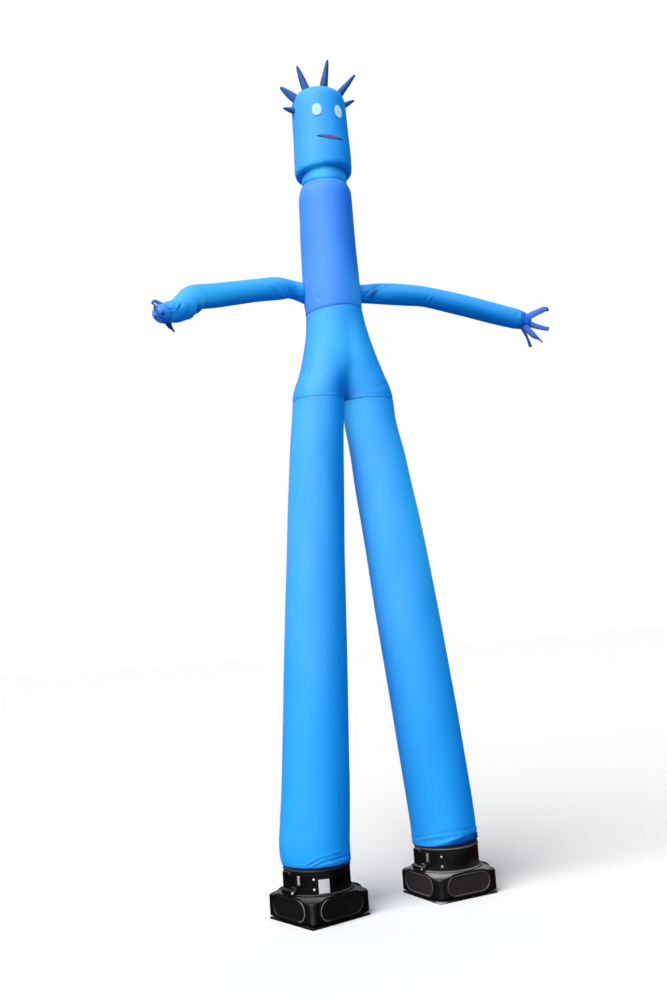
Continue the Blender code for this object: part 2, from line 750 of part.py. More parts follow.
def build_fittings(side, parent):
    """The hinge slab, the latch clip, the bolts and the power inlet."""
    seat = COLLAR_RADIUS + 2 * GAP
    face = seat + SLAB_DEPTH
    low = COLLAR_BOTTOM + 0.002
    beside = FLANGE_RADIUS + 2 * GAP
    rings = []
    for degrees, high in SLAB_TOPS:
        angle = math.radians(degrees)
        shoulder = min(FOOT_TOP + 0.010, high - 0.004)
        profile = (
            (seat, low), (beside, low), (beside, FOOT_BOTTOM), (beside + FOOT_REACH, FOOT_BOTTOM),
            (beside + FOOT_REACH, shoulder - 0.006), (face, shoulder), (face, high - 0.003),
            (face - 0.003, high), (seat, high),
        )
        rings.append([Vector((r * math.sin(angle), -r * math.cos(angle), z)) for r, z in profile])
    piece("hinge_slab_" + side, lambda bm: skin(bm, rings), "black_plastic", parent)
    clip = band(seat, seat + 0.010, 0.262, 0.325)
    arc_block("latch_clip_" + side, CLIP_ANGLE, 0.010, clip, "steel", parent, 2)
    for place, level in zip(("lower", "upper"), BOLT_LEVELS):
        piece(
            f"bolt_{side}_{place}",
            lambda bm: round_head(bm, BOLT_ANGLE, level, seat, BOLT_RADIUS, BOLT_HEIGHT),
            "steel", parent,
        )
    bolt_foot = beside + FOOT_REACH + GAP
    piece(
        "hinge_bolt_" + side,
        lambda bm: round_head(bm, HINGE_BOLT_ANGLE, 0.212, bolt_foot, BOLT_RADIUS, BOLT_HEIGHT),
        "steel", parent,
    )
    build_inlet(side, parent)


def build_inlet(side, parent):
    """A short stepped gland low on the back wall, beside the grille."""
    rings = []
    for reach, radius in ((GAP, 0.011), (0.006, 0.011), (0.007, 0.0075), (0.022, 0.006)):
        out = HOUSING_SIDE / 2 + reach
        rings.append(
            [(0.1975 + radius * math.cos(t), out, 0.060 + radius * math.sin(t)) for t in circle(16)]
        )
    piece("power_inlet_" + side, lambda bm: skin(bm, rings), "black_plastic", parent)


def build_blower(side, parent):
    blower = empty("blower_" + side, (BLOWERS_AT[side], 0.0, 0.0), BLOWER_YAWS[side], parent)
    build_housing(side, blower)
    build_collar(side, blower)
    build_fittings(side, blower)
    if side == "left":
        seat = COLLAR_RADIUS + 2 * GAP
        label = band(seat, seat + CLOTH_PATCH, *LABEL_LEVELS)
        arc_block("label", LABEL_ANGLE, 0.0377, label, "paper", blower, 8)


def centre_on_floor(parent):
    """Moves the whole figure so that the origin is at the middle of its box's floor."""
    graph = bpy.context.evaluated_depsgraph_get()
    low = Vector((math.inf,) * 3)
    high = -low
    for obj in bpy.data.objects:
        if obj.type != "MESH" or obj.hide_render:
            continue
        shown = obj.evaluated_get(graph)
        for vertex in shown.data.vertices:
            point = shown.matrix_world @ vertex.co
            low = Vector(map(min, low, point))
            high = Vector(map(max, high, point))
    parent.location = (-(low.x + high.x) / 2, -(low.y + high.y) / 2, -low.z)


def main():
    clear_scene()
    figure = empty("figure")
    build_body(figure)
    build_arms(figure)
    build_hair(figure)
    build_face(figure)
    for side in ("left", "right"):
        build_blower(side, figure)
    bpy.context.view_layer.update()
    centre_on_floor(figure)
    bpy.context.view_layer.update()


main()
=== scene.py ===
import math

import bpy
import numpy as np
from mathutils import Matrix, Vector


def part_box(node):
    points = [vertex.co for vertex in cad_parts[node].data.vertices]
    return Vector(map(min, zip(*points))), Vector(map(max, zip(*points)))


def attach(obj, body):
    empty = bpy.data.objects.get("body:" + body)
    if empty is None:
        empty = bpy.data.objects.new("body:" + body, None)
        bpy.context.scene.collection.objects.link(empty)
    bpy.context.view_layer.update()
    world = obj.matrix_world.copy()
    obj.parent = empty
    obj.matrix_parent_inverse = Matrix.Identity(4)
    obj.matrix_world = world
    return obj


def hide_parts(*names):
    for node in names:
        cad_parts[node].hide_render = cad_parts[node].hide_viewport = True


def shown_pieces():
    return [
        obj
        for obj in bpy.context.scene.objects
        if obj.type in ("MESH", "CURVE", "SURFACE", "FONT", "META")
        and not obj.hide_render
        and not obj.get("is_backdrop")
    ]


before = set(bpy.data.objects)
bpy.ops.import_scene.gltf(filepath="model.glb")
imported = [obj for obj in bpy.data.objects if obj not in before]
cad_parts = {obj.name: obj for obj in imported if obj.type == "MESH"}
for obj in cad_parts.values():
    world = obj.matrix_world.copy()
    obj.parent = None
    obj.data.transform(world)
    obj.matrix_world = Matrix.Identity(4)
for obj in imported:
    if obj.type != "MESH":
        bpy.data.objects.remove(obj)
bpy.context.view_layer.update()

mm = 0.001


def middleOf(node):
    low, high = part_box(node)
    return (low + high) / 2


# where the two blowers stand, along X from the figure's own middle, and how far each is turned
blowers = {
    "left": {"x": -0.524, "yaw": math.radians(14.7)},
    "right": {"x": 0.514, "yaw": math.radians(4.5)},
}
between = (middleOf("collar_left") + middleOf("collar_right")) / 2
between.z = 0
origin = between - Vector(((blowers["left"]["x"] + blowers["right"]["x"]) / 2, 0, 0))
print("frame loaded,", len(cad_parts), "nodes")

camera = {
    "from": Vector((-3.356, -7.057, 1.945)),  # from the floor midway between the blowers
    "forward": Vector((0.4051, 0.9056, 0.1253)),
    "up": Vector((0.0113, -0.1421, 0.9898)),
    "lens": 37.8,
}


def placeCamera():
    made = bpy.data.objects.new("camera", bpy.data.cameras.new("camera"))
    bpy.context.scene.collection.objects.link(made)
    forward = camera["forward"].normalized()
    right = forward.cross(camera["up"]).normalized()
    turned = Matrix((right, right.cross(forward), -forward)).transposed()
    made.matrix_world = Matrix.Translation(between + camera["from"]) @ turned.to_4x4()
    made.data.lens = camera["lens"]
    made.data.sensor_width = 36
    made.data.clip_end = 200
    bpy.context.scene.camera = made


placeCamera()
print("camera placed")


def mathNode(operation, swapped=False):
    # a method that adds a Math node on a socket and another value
    def added(self, other=0.0):
        first, second = (other, self) if swapped else (self, other)
        return self.finish.node("ShaderNodeMath", {"operation": operation}, {0: first, 1: second})

    return added


class Value:
    # one socket of a material; sums and products on it add Math nodes
    def __init__(self, finish, socket):
        self.finish = finish
        self.socket = socket

    __add__, __radd__ = mathNode("ADD"), mathNode("ADD", True)
    __sub__, __rsub__ = mathNode("SUBTRACT"), mathNode("SUBTRACT", True)
    __mul__, __rmul__ = mathNode("MULTIPLY"), mathNode("MULTIPLY", True)
    __truediv__ = mathNode("DIVIDE")
    __lt__ = mathNode("LESS_THAN")
    __abs__ = mathNode("ABSOLUTE")
    sine = mathNode("SINE")
    part = mathNode("FRACT")
    most = mathNode("MAXIMUM")
    least = mathNode("MINIMUM")


class Finish:
    # a material with one Principled shader; node() is the one way that any other node is made
    def __init__(self, name, **settings):
        self.material = bpy.data.materials.new(name)
        self.material.use_nodes = True
        self.tree = self.material.node_tree
        self.shader = self.tree.nodes["Principled BSDF"]
        for socket, value in settings.items():
            self.give(socket.replace("_", " "), value)

    def plug(self, socket, value):
        if isinstance(value, Value):
            self.tree.links.new(value.socket, socket)
        elif socket.type == "RGBA":
            socket.default_value = (*value[:3], 1.0)
        else:
            socket.default_value = value

    def give(self, socket, value):
        self.plug(self.shader.inputs[socket], value)

    def node(self, kind, settings=None, values=None, output=0):
        made = self.tree.nodes.new(kind)
        for key, value in (settings or {}).items():
            setattr(made, key, value)
        for key, value in (values or {}).items():
            self.plug(made.inputs[key], value)
        return Value(self, made.outputs[output])

    def noise(self, where, scale, detail=3.0, rough=0.5):
        return self.node(
            "ShaderNodeTexNoise", {}, {"Vector": where, "Scale": scale, "Detail": detail, "Roughness": rough}
        )

    def smooth(self, value, low, high, to=(0.0, 1.0)):
        # value eased from low to high onto the range to
        return self.node(
            "ShaderNodeMapRange",
            {"interpolation_type": "SMOOTHSTEP"},
            {"Value": value, "From Min": low, "From Max": high, "To Min": to[0], "To Max": to[1]},
        )

    def mix(self, share, first, second):
        return self.node(
            "ShaderNodeMix", {"data_type": "RGBA"}, {"Factor": share, 6: first, 7: second}, output=2
        )

    def geometry(self, output):
        return self.node("ShaderNodeNewGeometry", {}, {}, output)

    def vector(self, operation, first, second, output=1):
        return self.node("ShaderNodeVectorMath", {"operation": operation}, {0: first, 1: second}, output)

    def stretch(self, where, by):
        return self.vector("MULTIPLY", where, by, 0)

    def split(self, where):
        return [self.node("ShaderNodeSeparateXYZ", {}, {0: where}, output=i) for i in range(3)]

    def bump(self, height, distance, strength=1.0, under=None):
        values = {"Height": height, "Distance": distance, "Strength": strength}
        if under:
            values["Normal"] = under
        return self.node("ShaderNodeBump", {}, values)

    def finished(self, colour, normal, roughness=None):
        self.give("Base Color", colour)
        self.give("Normal", normal)
        if roughness:
            self.give("Roughness", roughness)
        return self.material

    def place(self):
        return self.node("ShaderNodeTexCoord", {}, {}, output=3)


weave = {
    "roughness": 0.52,
    "thread": 1.1 * mm,
    "ripstop": 7.0 * mm,  # between the thicker threads
    "ripstopWidth": 0.13,
    "stitch": 4.2 * mm,
    "stitchFill": 0.62,
    "stitchRows": (4.0 * mm, 8.5 * mm),  # from the seam
    "threadWidth": 0.55 * mm,
}


lightSide = (-0.603, -0.39, 0.695)  # where the main light comes from


def clothFinish(name, colours, thread=(0.02, 0.1, 0.42), paintedGlow=(0.03, 0.24, 0.25), low=None, away=None):
    # colours: the cloth, its paler sun-worn areas, and the darker colour of its ripstop, seams and painted shade;
    # then a painted glow's colour, for light through the cloth; low: its colour near the ground; away: painted shade,
    # a deeper colour on the side turned from the main light
    roughness = weave["roughness"]
    made = Finish(name, Roughness=roughness)
    made.give("Specular IOR Level", 0.22)
    cloth = made.node("ShaderNodeUVMap", {"uv_map": "cloth"})
    around, along, _ = made.split(cloth)
    sewn = made.node("ShaderNodeAttribute", {"attribute_name": "sewn"}, {}, output=1)
    fromEnd, fromSide, shade = made.split(sewn)

    ways = (around, along)
    warp, weft = [(way * (math.pi / weave["thread"])).sine() for way in ways]
    threads = warp * weft
    thicker = [abs((way / weave["ripstop"]).part() - 0.5) < weave["ripstopWidth"] / 2 for way in ways]
    ripstop = thicker[0].most(thicker[1])

    dashesAround, dashesAlong = [(way / weave["stitch"]).part() < weave["stitchFill"] for way in ways]
    stitches = None
    for row in weave["stitchRows"]:
        across = (abs(fromEnd - row) < weave["threadWidth"]) * dashesAround
        down = (abs(fromSide - row) < weave["threadWidth"]) * dashesAlong
        both = across.most(down)
        stitches = both if stitches is None else stitches.most(both)

    where = made.place()
    broad = made.smooth(made.noise(where, 1.7, 3.0), 0.35, 0.7)
    streaks = made.noise(made.stretch(where, (9.0, 9.0, 1.4)), 2.0, 4.0, 0.6)
    worn = made.smooth(streaks, 0.4, 0.72) * 0.55
    colour = made.mix(broad * 0.5, colours[0], colours[1])
    colour = made.mix(worn * 0.45, colour, colours[1])
    if low:
        colour = made.mix(made.smooth(made.split(where)[2], 0.5, 3.1, (0.85, 0.0)), colour, low)
    # painted shade: the colour deepens towards away on the side turned from the main light
    if away:
        facing = made.vector("DOT_PRODUCT", made.geometry(1), lightSide)
        colour = made.mix(made.smooth(facing, -0.05, 0.7, (1.0, 0.0)), colour, away)
    colour = made.mix(shade, colour, colours[2])
    colour = made.mix(ripstop * 0.1, colour, colours[2])
    # darker within 6 mm of a seam: the seam's dark join, and painted shade in its dip
    near = made.smooth(fromEnd.least(fromSide), 0.0, 6 * mm, (0.38, 0.0))
    colour = made.mix(near, colour, colours[2])
    colour = made.mix(stitches * 0.85, colour, thread)
    # painted glow: where the shade is negative the cloth emits its glow colour, standing in for light through it
    made.give("Emission Color", made.mix(0.0 - shade, (0, 0, 0), paintedGlow))
    made.give("Emission Strength", 1.0)

    puckers = made.noise(made.stretch(where, (26.0, 26.0, 7.0)), 1.0, 2.0)
    nearSeam = made.smooth(fromEnd, 0.0, 0.1, (1.0, 0.12))
    relief = made.bump(puckers * nearSeam, 3.0 * mm, 0.45)
    fine = threads * 0.35 + ripstop * 1.0 + stitches * 3.0
    relief = made.bump(fine, 0.16 * mm, 0.6, relief)
    return made.finished(colour, relief, made.smooth(streaks, 0.3, 0.7, (roughness - 0.06, roughness + 0.08)))


skyCloth = clothFinish(
    "sky_nylon", ((0.064, 0.388, 0.82), (0.11, 0.452, 0.9), (0.002, 0.03, 0.18)), low=(0.018, 0.35, 0.76),
    away=(0.01, 0.355, 0.79),
)
royalCloth = clothFinish(
    "royal_nylon", ((0.084, 0.285, 0.81), (0.125, 0.355, 0.89), (0.01, 0.06, 0.34)), thread=(0.03, 0.1, 0.5),
    away=(0.04, 0.235, 0.74),
)
deepCloth = clothFinish(
    "deep_nylon", ((0.024, 0.076, 0.255), (0.062, 0.16, 0.42), (0.003, 0.005, 0.022)), thread=(0.12, 0.22, 0.6),
    paintedGlow=(0.09, 0.17, 0.44),
)
whiteCloth = clothFinish(
    "white_nylon", ((0.66, 0.8, 0.8), (0.78, 0.88, 0.87), (0.2, 0.33, 0.42)), thread=(0.35, 0.55, 0.7),
    paintedGlow=(0.15, 0.2, 0.18),
)
redCloth = clothFinish(
    "red_nylon", ((0.17, 0.128, 0.262), (0.23, 0.17, 0.335), (0.001, 0.04, 0.19)), thread=(0.05, 0.05, 0.14)
)


def webbingFinish():
    # near-black webbing, tinted navy as painted shade under the overhanging hem
    made = Finish("black_webbing_weave", Roughness=0.8, Sheen_Weight=0.3)
    around, along, _ = made.split(made.node("ShaderNodeUVMap", {"uv_map": "cloth"}))
    ribs = (along * (math.pi / (1.3 * mm)) + (around * (math.pi / (1.8 * mm))).sine() * 0.9).sine()
    fuzz = made.noise(made.place(), 420.0)
    colour = made.mix(made.smooth(fuzz, 0.3, 0.7), (0.0012, 0.003, 0.012), (0.004, 0.008, 0.028))
    return made.finished(colour, made.bump(ribs + fuzz * 0.6, 0.5 * mm, 0.8))


def plasticFinish(name, base, dustAndSheen, dustAndSheenShare, roughness=0.36, warm=None, corner=None, spot=None, foot=None):
    # moulded plastic with a fine grain, dust with a painted sheen on what faces up, pale worn edges, and a warmer side
    # towards +X;
    # foot: the middle of a ring round the flange where dust with a painted sheen lies, and its colour;
    # corner: which way the upright corner faces that gets a painted highlight; spot: a painted highlight, a paler
    # spot: its middle, inner and outer reach, and colour
    made = Finish(name, Roughness=roughness)
    made.give("Specular IOR Level", 0.42)
    where = made.place()
    normal = made.geometry(1)
    east, _, up = made.split(normal)
    facing = made.smooth(up, 0.35, 0.97)
    patches = made.smooth(made.noise(where, 9.0, 5.0, 0.65), 0.32, 0.72)
    specks = made.smooth(made.noise(where, 160.0, 2.0), 0.55, 0.75)
    # dust, and a painted sheen of the lit top, on the faces that look up
    dustAndSheenAmount = (facing * (patches * 0.6 + 0.4) + specks * 0.05) * dustAndSheenShare
    edges = made.smooth(made.geometry(7), 0.53, 0.62) * made.smooth(patches, 0.2, 0.8, (0.35, 1.0))
    colour = base
    if warm:
        colour = made.mix(made.smooth(east, 0.15, 0.95) * 0.8, base, warm)
    colour = made.mix(dustAndSheenAmount.least(1.0), colour, dustAndSheen)
    colour = made.mix(edges * 0.3, colour, dustAndSheen)
    if foot is not None:
        apart = made.vector("DISTANCE", made.stretch(where, (1, 1, 0)), foot[0])
        lying = made.smooth(apart, 0.285, 0.335, (1.0, 0.0)) * made.smooth(up, 0.9, 0.96) * (patches * 0.4 + 0.6)
        colour = made.mix(lying, colour, foot[1])
    # painted highlight: the upright corner that faces this way is paler below the top edge
    if corner is not None:
        faces = made.vector("DOT_PRODUCT", normal, corner)
        below = made.smooth(made.split(where)[2], 0.165, 0.185, (1.0, 0.0))
        colour = made.mix(made.smooth(faces, 0.955, 0.998) * below * (patches * 0.5 + 0.4), colour, dustAndSheen)
    # painted highlight: paler round the spot's middle
    if spot is not None:
        middle, inner, outer, paler = spot
        apart = made.vector("DISTANCE", where, middle)
        colour = made.mix(made.smooth(apart, inner, outer, (0.9, 0.0)), colour, paler)
    uneven = made.smooth(made.noise(where, 26.0, 4.0), 0.3, 0.7, (roughness - 0.07, roughness + 0.12))
    flow = made.bump(made.noise(where, 14.0, 2.0), 2 * mm, 0.1)
    grain = made.bump(made.noise(where, 900.0, 2.0), 0.25 * mm, 0.35, flow)
    return made.finished(colour, grain, uneven + dustAndSheenAmount * 0.35)


def metalFinish(name, colour, roughness, metallic=1.0):
    made = Finish(name, Metallic=metallic, Roughness=roughness)
    where = made.place()
    scratches = made.noise(made.stretch(where, (60.0, 60.0, 700.0)), 1.0, 3.0)
    spots = made.smooth(made.noise(where, 240.0, 3.0), 0.55, 0.75)
    dull = tuple(0.45 * c for c in colour)
    return made.finished(made.mix(spots * 0.6, colour, dull), made.bump(scratches, 0.1 * mm, 0.4),
                         made.smooth(scratches, 0.3, 0.7, (roughness - 0.08, roughness + 0.14)))


def paperFinish():
    made = Finish("blank_sticker", Roughness=0.5)
    where = made.place()
    cloudy = made.smooth(made.noise(where, 60.0, 4.0), 0.3, 0.7)
    return made.finished(made.mix(cloudy, (0.7, 0.68, 0.73), (0.83, 0.81, 0.85)),
                         made.bump(made.noise(where, 700.0), 0.1 * mm, 0.3))


webbing = webbingFinish()


def blowerPoint(side, x, y, z):
    # a point given in a blower's own axes
    turned = Matrix.Rotation(blowers[side]["yaw"], 3, "Z")
    return origin + Vector((blowers[side]["x"], 0, 0)) + turned @ Vector((x, y, z))


# the left housing's front corner, which gets a painted highlight
leftCorner = blowerPoint("left", -0.7071, -0.7071, 0) - blowerPoint("left", 0, 0, 0)
axes = {side: Vector((*blowerPoint(side, 0, 0, 0)[:2], 0)) for side in blowers}
plastics = {
    "left": plasticFinish("black_plastic_clean", (0.004, 0.0036, 0.0046), (0.075, 0.07, 0.074), 0.25,
                          warm=(0.028, 0.0045, 0.013), corner=leftCorner, foot=(axes["left"], (0.11, 0.108, 0.118))),
    "right": plasticFinish("black_plastic_dusty", (0.008, 0.006, 0.0068), (0.18, 0.155, 0.162), 0.48,
                           warm=(0.15, 0.01, 0.03), foot=(axes["right"], (0.4, 0.385, 0.395))),
}
plates = {
    "left": plastics["left"],
    # the plate's front corner gets a painted highlight
    "right": plasticFinish("black_plastic_plate", (0.008, 0.006, 0.0068), (0.2, 0.18, 0.185), 0.4,
                           spot=(blowerPoint("right", -0.238, -0.238, 0.012), 0.02, 0.07, (0.62, 0.58, 0.57))),
}
# the collar's rolled lip and the flange, paler than the body: dust, and a painted highlight along the lip
rims = {
    "left": plasticFinish("black_plastic_rim_clean", (0.016, 0.016, 0.02), (0.11, 0.108, 0.115), 0.6, 0.42),
    "right": plasticFinish("black_plastic_rim_dusty", (0.12, 0.124, 0.126), (0.32, 0.318, 0.324), 0.6, 0.45),
}
# the grille rims: dust, and a painted highlight on their arcs; the left rims get a painted highlight near the front
# corner
grilleRim = {
    "left": plasticFinish("black_plastic_grille_rim", (0.01, 0.009, 0.011), (0.06, 0.058, 0.062), 0.5, 0.42,
                          spot=(blowerPoint("left", -0.238, -0.238, 0.11), 0.11, 0.165, (0.27, 0.255, 0.26))),
    "right": plasticFinish("black_plastic_grille_rim_dusty", (0.1, 0.088, 0.094), (0.28, 0.26, 0.268), 0.5, 0.45),
}
grilleWire = {
    "left": metalFinish("grille_wire_black", (0.022, 0.02, 0.022), 0.45, 0.3),
    "right": metalFinish("grille_wire_dusty", (0.08, 0.064, 0.07), 0.55, 0.2),
}
# a near-black sheet behind each grille's mesh: painted shadow for the dim inside of the blower
paintedShadow = plasticFinish("painted_shadow_backing", (0.0015, 0.0013, 0.0015), (0.004, 0.004, 0.004), 0.1, 0.7)
steel = {
    "left": metalFinish("zinc_steel", (0.88, 0.88, 0.9), 0.42, 0.7),
    "right": metalFinish("zinc_steel_dull", (0.52, 0.53, 0.55), 0.5, 0.7),
}
paper = paperFinish()
print("materials made")


# In the tables below lengths are in mm and turns in degrees; single measures are in metres


def linked(name, mesh, materials, replaced):
    # puts a finished mesh in the scene in place of a CAD node
    for material in materials if isinstance(materials, list) else [materials]:
        mesh.materials.append(material)
    made = bpy.data.objects.new(name, mesh)
    bpy.context.scene.collection.objects.link(made)
    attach(made, "root")
    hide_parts(replaced)
    return made


def metres(rows):
    # the numbers of a table, which are in mm
    return np.array(rows) / 1000


def throughRows(knots, coarse, fine, reach=0.16):
    # a smooth run through the rows of a table, its steps growing from fine at both ends to coarse
    at = np.concatenate([[0], np.cumsum(np.linalg.norm(np.diff(knots, axis=0), axis=1))])
    slopes = np.gradient(knots, at, axis=0)
    places = [0.0]
    while places[-1] < at[-1]:
        near = min(places[-1], at[-1] - places[-1]) / reach
        places.append(places[-1] + fine + (coarse - fine) * min(1.0, max(0.0, near)))
    places = np.array(places) * at[-1] / places[-1]
    spot = np.clip(np.searchsorted(at, places, side="right") - 1, 0, len(at) - 2)
    step = (at[spot + 1] - at[spot])[:, None]
    t = (places - at[spot])[:, None] / step
    return (
        (2 * t**3 - 3 * t**2 + 1) * knots[spot]
        + (t**3 - 2 * t**2 + t) * step * slopes[spot]
        + (3 * t**2 - 2 * t**3) * knots[spot + 1]
        + (t**3 - t**2) * step * slopes[spot + 1]
    )


def turnsOf(columns):
    # angles round a tube, from the back, past the front at 0 and +X at 90 degrees, to the back again
    return np.radians(-180 + 360 * np.arange(columns) / columns)


def turnsFrom(turns, turn):
    # how far round each angle is from a turn given in degrees
    return (turns - math.radians(turn) + math.pi) % (2 * math.pi) - math.pi


def foldPush(folds, turns, along, radius):
    # how far creases and ridges push each point of a tube outwards. Each is a line on the cloth, from one turn
    # (degrees) and place along (mm) to another, then its width and depth in mm; a crease's depth is negative
    push = np.zeros((len(along), len(turns)))
    for turn, at, turnEnd, atEnd, width, depth in folds:
        u = turnsFrom(turns, turn)[None, :] * radius
        v = (along - at / 1000)[:, None] + 0 * u
        endU = math.radians(turnEnd - turn) * radius
        endV = atEnd / 1000 - at / 1000
        length = math.hypot(endU, endV) + 1e-9
        share = np.clip((u * endU + v * endV) / length**2, 0, 1)
        apart = np.hypot(u - share * endU, v - share * endV)
        taper = 0.35 + 0.65 * np.sin(math.pi * np.clip(share, 0.02, 0.98))
        push += depth * mm * taper * np.exp(-((apart / (width * mm)) ** 2))
    return push


def puckerPush(turns, along, seam, reach, depth, counts, seed):
    # uneven gathers that run square to a seam and die away from it
    chance = np.random.default_rng(seed)
    waves = np.zeros((len(along), len(turns)))
    for count in counts:
        start, bend, size = chance.uniform(0, 2 * math.pi), chance.uniform(-9, 9), chance.uniform(0.5, 1)
        swell = 1 + 0.6 * np.cos(2 * turns + chance.uniform(0, 2 * math.pi))
        waves += size * swell * np.sin(count * turns + start + bend * (along - seam)[:, None])
    near = np.exp(-np.abs(along - seam) / reach)[:, None]
    return depth * near * waves / len(counts)


def billowPush(turns, along, depth, seed, waves=9):
    # slow unevenness of the blown-up cloth
    chance = np.random.default_rng(seed)
    push = np.zeros((len(along), len(turns)))
    for _ in range(waves):
        count, pitch = chance.integers(1, 5), chance.uniform(-9, 9)
        push += np.sin(count * turns + pitch * along[:, None] + chance.uniform(0, 2 * math.pi))
    return depth * push / math.sqrt(waves)


def creaseShade(push, depth=9 * mm, most=0.5):
    # how much darker the cloth is at the bottom of its creases
    return most * np.clip(-push / depth, 0, 1)


def paintedShading(paintedShadeAndLight, turns, along):
    # painted shade in soft areas of a tube: turn, place along (mm), how wide (degrees) and tall (mm), and how much
    # darker.
    # Where that is negative it is painted light, a glow as if more light came through
    shade = np.zeros((len(along), len(turns)))
    for turn, at, wide, tall, amount in paintedShadeAndLight:
        around = (np.degrees(turns) - turn + 180) % 360 - 180
        across, down = (around / wide) ** 2, ((along - at / 1000) / (tall / 1000)) ** 2
        shade += amount * np.exp(-across[None, :] - down[:, None])
    return shade


def unevenPush(turns, along, radius, seeds, folds, puckers, billow=0.0, pinches=(), extra=0.0):
    # everything that pushes a tube's points outwards. puckers: seam, reach, depth in mm and waves; billow: its depth
    # in mm; pinches: seam, depth and width in mm; seeds: one for each pucker, then one for the billow
    push = foldPush(folds, turns, along, radius) + extra
    for seed, (seam, reach, depth, counts) in zip(seeds, puckers):
        push += puckerPush(turns, along, seam, reach, depth * mm, counts, seed)
    if billow:
        push += billowPush(turns, along, billow * mm, seeds[len(puckers)])
    for seam, depth, wide in pinches:
        push -= depth * mm * np.exp(-(((along - seam) / (wide * mm)) ** 2))[:, None]
    return push


def uprightPoints(z, x, reach, turns, slope=(0.0, 0.0), lean=0.0):
    # points of an upright tube; lean says how much of the slope each row has
    east, north = reach * np.sin(turns), -reach * np.cos(turns)
    up = z[:, None] + np.broadcast_to(lean, len(z))[:, None] * (slope[0] * east + slope[1] * north)
    return np.stack((x[:, None] + east, north, up), -1)


def unit(vectors):
    return vectors / np.linalg.norm(vectors, axis=-1, keepdims=True)


def limbPoints(rows, turns, push=0.0):
    # points of a bent tube; 0 degrees is its front, and the frame turns as little as it can
    centres, radii = rows[:, :3], rows[:, 3]
    runs = unit(np.gradient(centres, axis=0))
    fronts = np.empty_like(centres)
    front = np.array((0.0, -1.0, 0.0))
    for i, run in enumerate(runs):
        front = front - run * front.dot(run)
        front /= np.linalg.norm(front)
        fronts[i] = front
    sides = np.cross(runs, fronts)
    reach = radii[:, None] + push
    return (
        centres[:, None, :]
        + (reach * np.cos(turns))[:, :, None] * fronts[:, None, :]
        + (reach * np.sin(turns))[:, :, None] * sides[:, None, :]
    )


def lengthOf(rows):
    # distance from the first row of a bent tube, along its middle
    return np.concatenate([[0], np.cumsum(np.linalg.norm(np.diff(rows[:, :3], axis=0), axis=1))])


def lengthAlong(points):
    # distance from the first row, measured on the cloth
    steps = np.linalg.norm(np.diff(points, axis=0), axis=2).mean(axis=1)
    return np.concatenate([[0], np.cumsum(steps)])


allowance = {"depth": 9 * mm, "dip": 1.2 * mm}  # how far it turns in, and how far the cloth dips at the seam


def turnedIn(points, first):
    # adds the seam allowance, a band of three rows that turns in from the end ring towards its middle
    ring, beside = points[[0, 1] if first else [-1, -2]]
    inward, back = unit(ring.mean(axis=0) - ring), unit(beside - ring)
    dip, depth = allowance["dip"], allowance["depth"]
    bands = np.array([ring + inward * dip, ring + inward * (dip + 2 * mm) + back * 0.3 * mm,
                      ring + inward * depth + back * 1.2 * mm])
    return np.concatenate([bands[::-1], points] if first else [points, bands])


def atPlaces(line, places, along):
    # a line of points, taken at new places along it
    return np.stack([np.interp(places, along, values) for values in line.T], -1)


def trimmed(points, outside):
    # starts every lengthwise line of a tube where it leaves the piece that it is sewn to
    count = len(points)
    apart = outside(points.reshape(-1, 3)).reshape(points.shape[:2])
    steps = np.linspace(0, 1, count)
    result = np.empty_like(points)
    for j in range(points.shape[1]):
        within = np.nonzero(apart[:, j] < 0)[0]
        start = 0.0
        if len(within) and within[-1] + 1 < count:
            k = within[-1]
            start = k + apart[k, j] / (apart[k, j] - apart[k + 1, j])
        places = start + (count - 1 - start) * steps
        result[:, j] = atPlaces(points[:, j], places, np.arange(count))
    return result


clothThickness = 1 * mm


def gridMesh(node, points, u, v, sewn=None, closed=False):
    # a mesh from rows of points, with u and v their place on the flat cloth. Where the cloth closes on itself,
    # u has one column more than the points, or v one row more; closed: a face over the last row
    rows, columns = points.shape[:2]
    flat = np.stack(np.broadcast_arrays(u, v), -1)
    i, j = np.indices((flat.shape[0] - 1, flat.shape[1] - 1))
    corners = ((i, j), (i, j + 1), (i + 1, j + 1), (i + 1, j))
    faces = np.stack([a % rows * columns + b % columns for a, b in corners], -1).reshape(-1, 4).tolist()
    where = np.stack([flat[a, b] for a, b in corners], -2).reshape(-1, 2)
    if closed:
        faces.append(list(range((rows - 1) * columns, rows * columns)))
        where = np.concatenate([where, np.full((columns, 2), (0.0, flat[-1, 0, 1]))])
    mesh = bpy.data.meshes.new(node)
    mesh.from_pydata((points + np.array(origin)).reshape(-1, 3).tolist(), [], faces)
    mesh.uv_layers.new(name="cloth").uv.foreach_set("vector", where.astype(np.float32).ravel())
    if sewn:
        values = np.stack(np.broadcast_arrays(*sewn), -1).astype(np.float32)
        mesh.attributes.new("sewn", "FLOAT_VECTOR", "POINT").data.foreach_set("vector", values.ravel())
    mesh.shade_smooth()
    return mesh


def thickened(made):
    shell = made.modifiers.new("thickness", "SOLIDIFY")
    shell.thickness = clothThickness
    shell.offset = -1
    return made


def clothTube(node, points, material, fromEnd, width, shade=0.0, closed=False):
    # one piece of cloth sewn into a tube, from rows of points all round it, in the place of a CAD node
    along = lengthAlong(points)
    columns = points.shape[1]
    side = width * np.arange(columns + 1) / columns
    ends = np.clip(fromEnd(along), -1, 1)[:, None] if callable(fromEnd) else fromEnd
    sewn = (ends, np.minimum(side[:-1], width - side[:-1]), shade)
    mesh = gridMesh(node, points, side, along[:, None], sewn, closed)
    made = thickened(linked(node + "_cloth", mesh, material, node))


def widened(shade, first, last):
    # shade with its end rows repeated, for the rows of a seam allowance or a tip
    return np.pad(shade, ((first, last), (0, 0)), "edge")


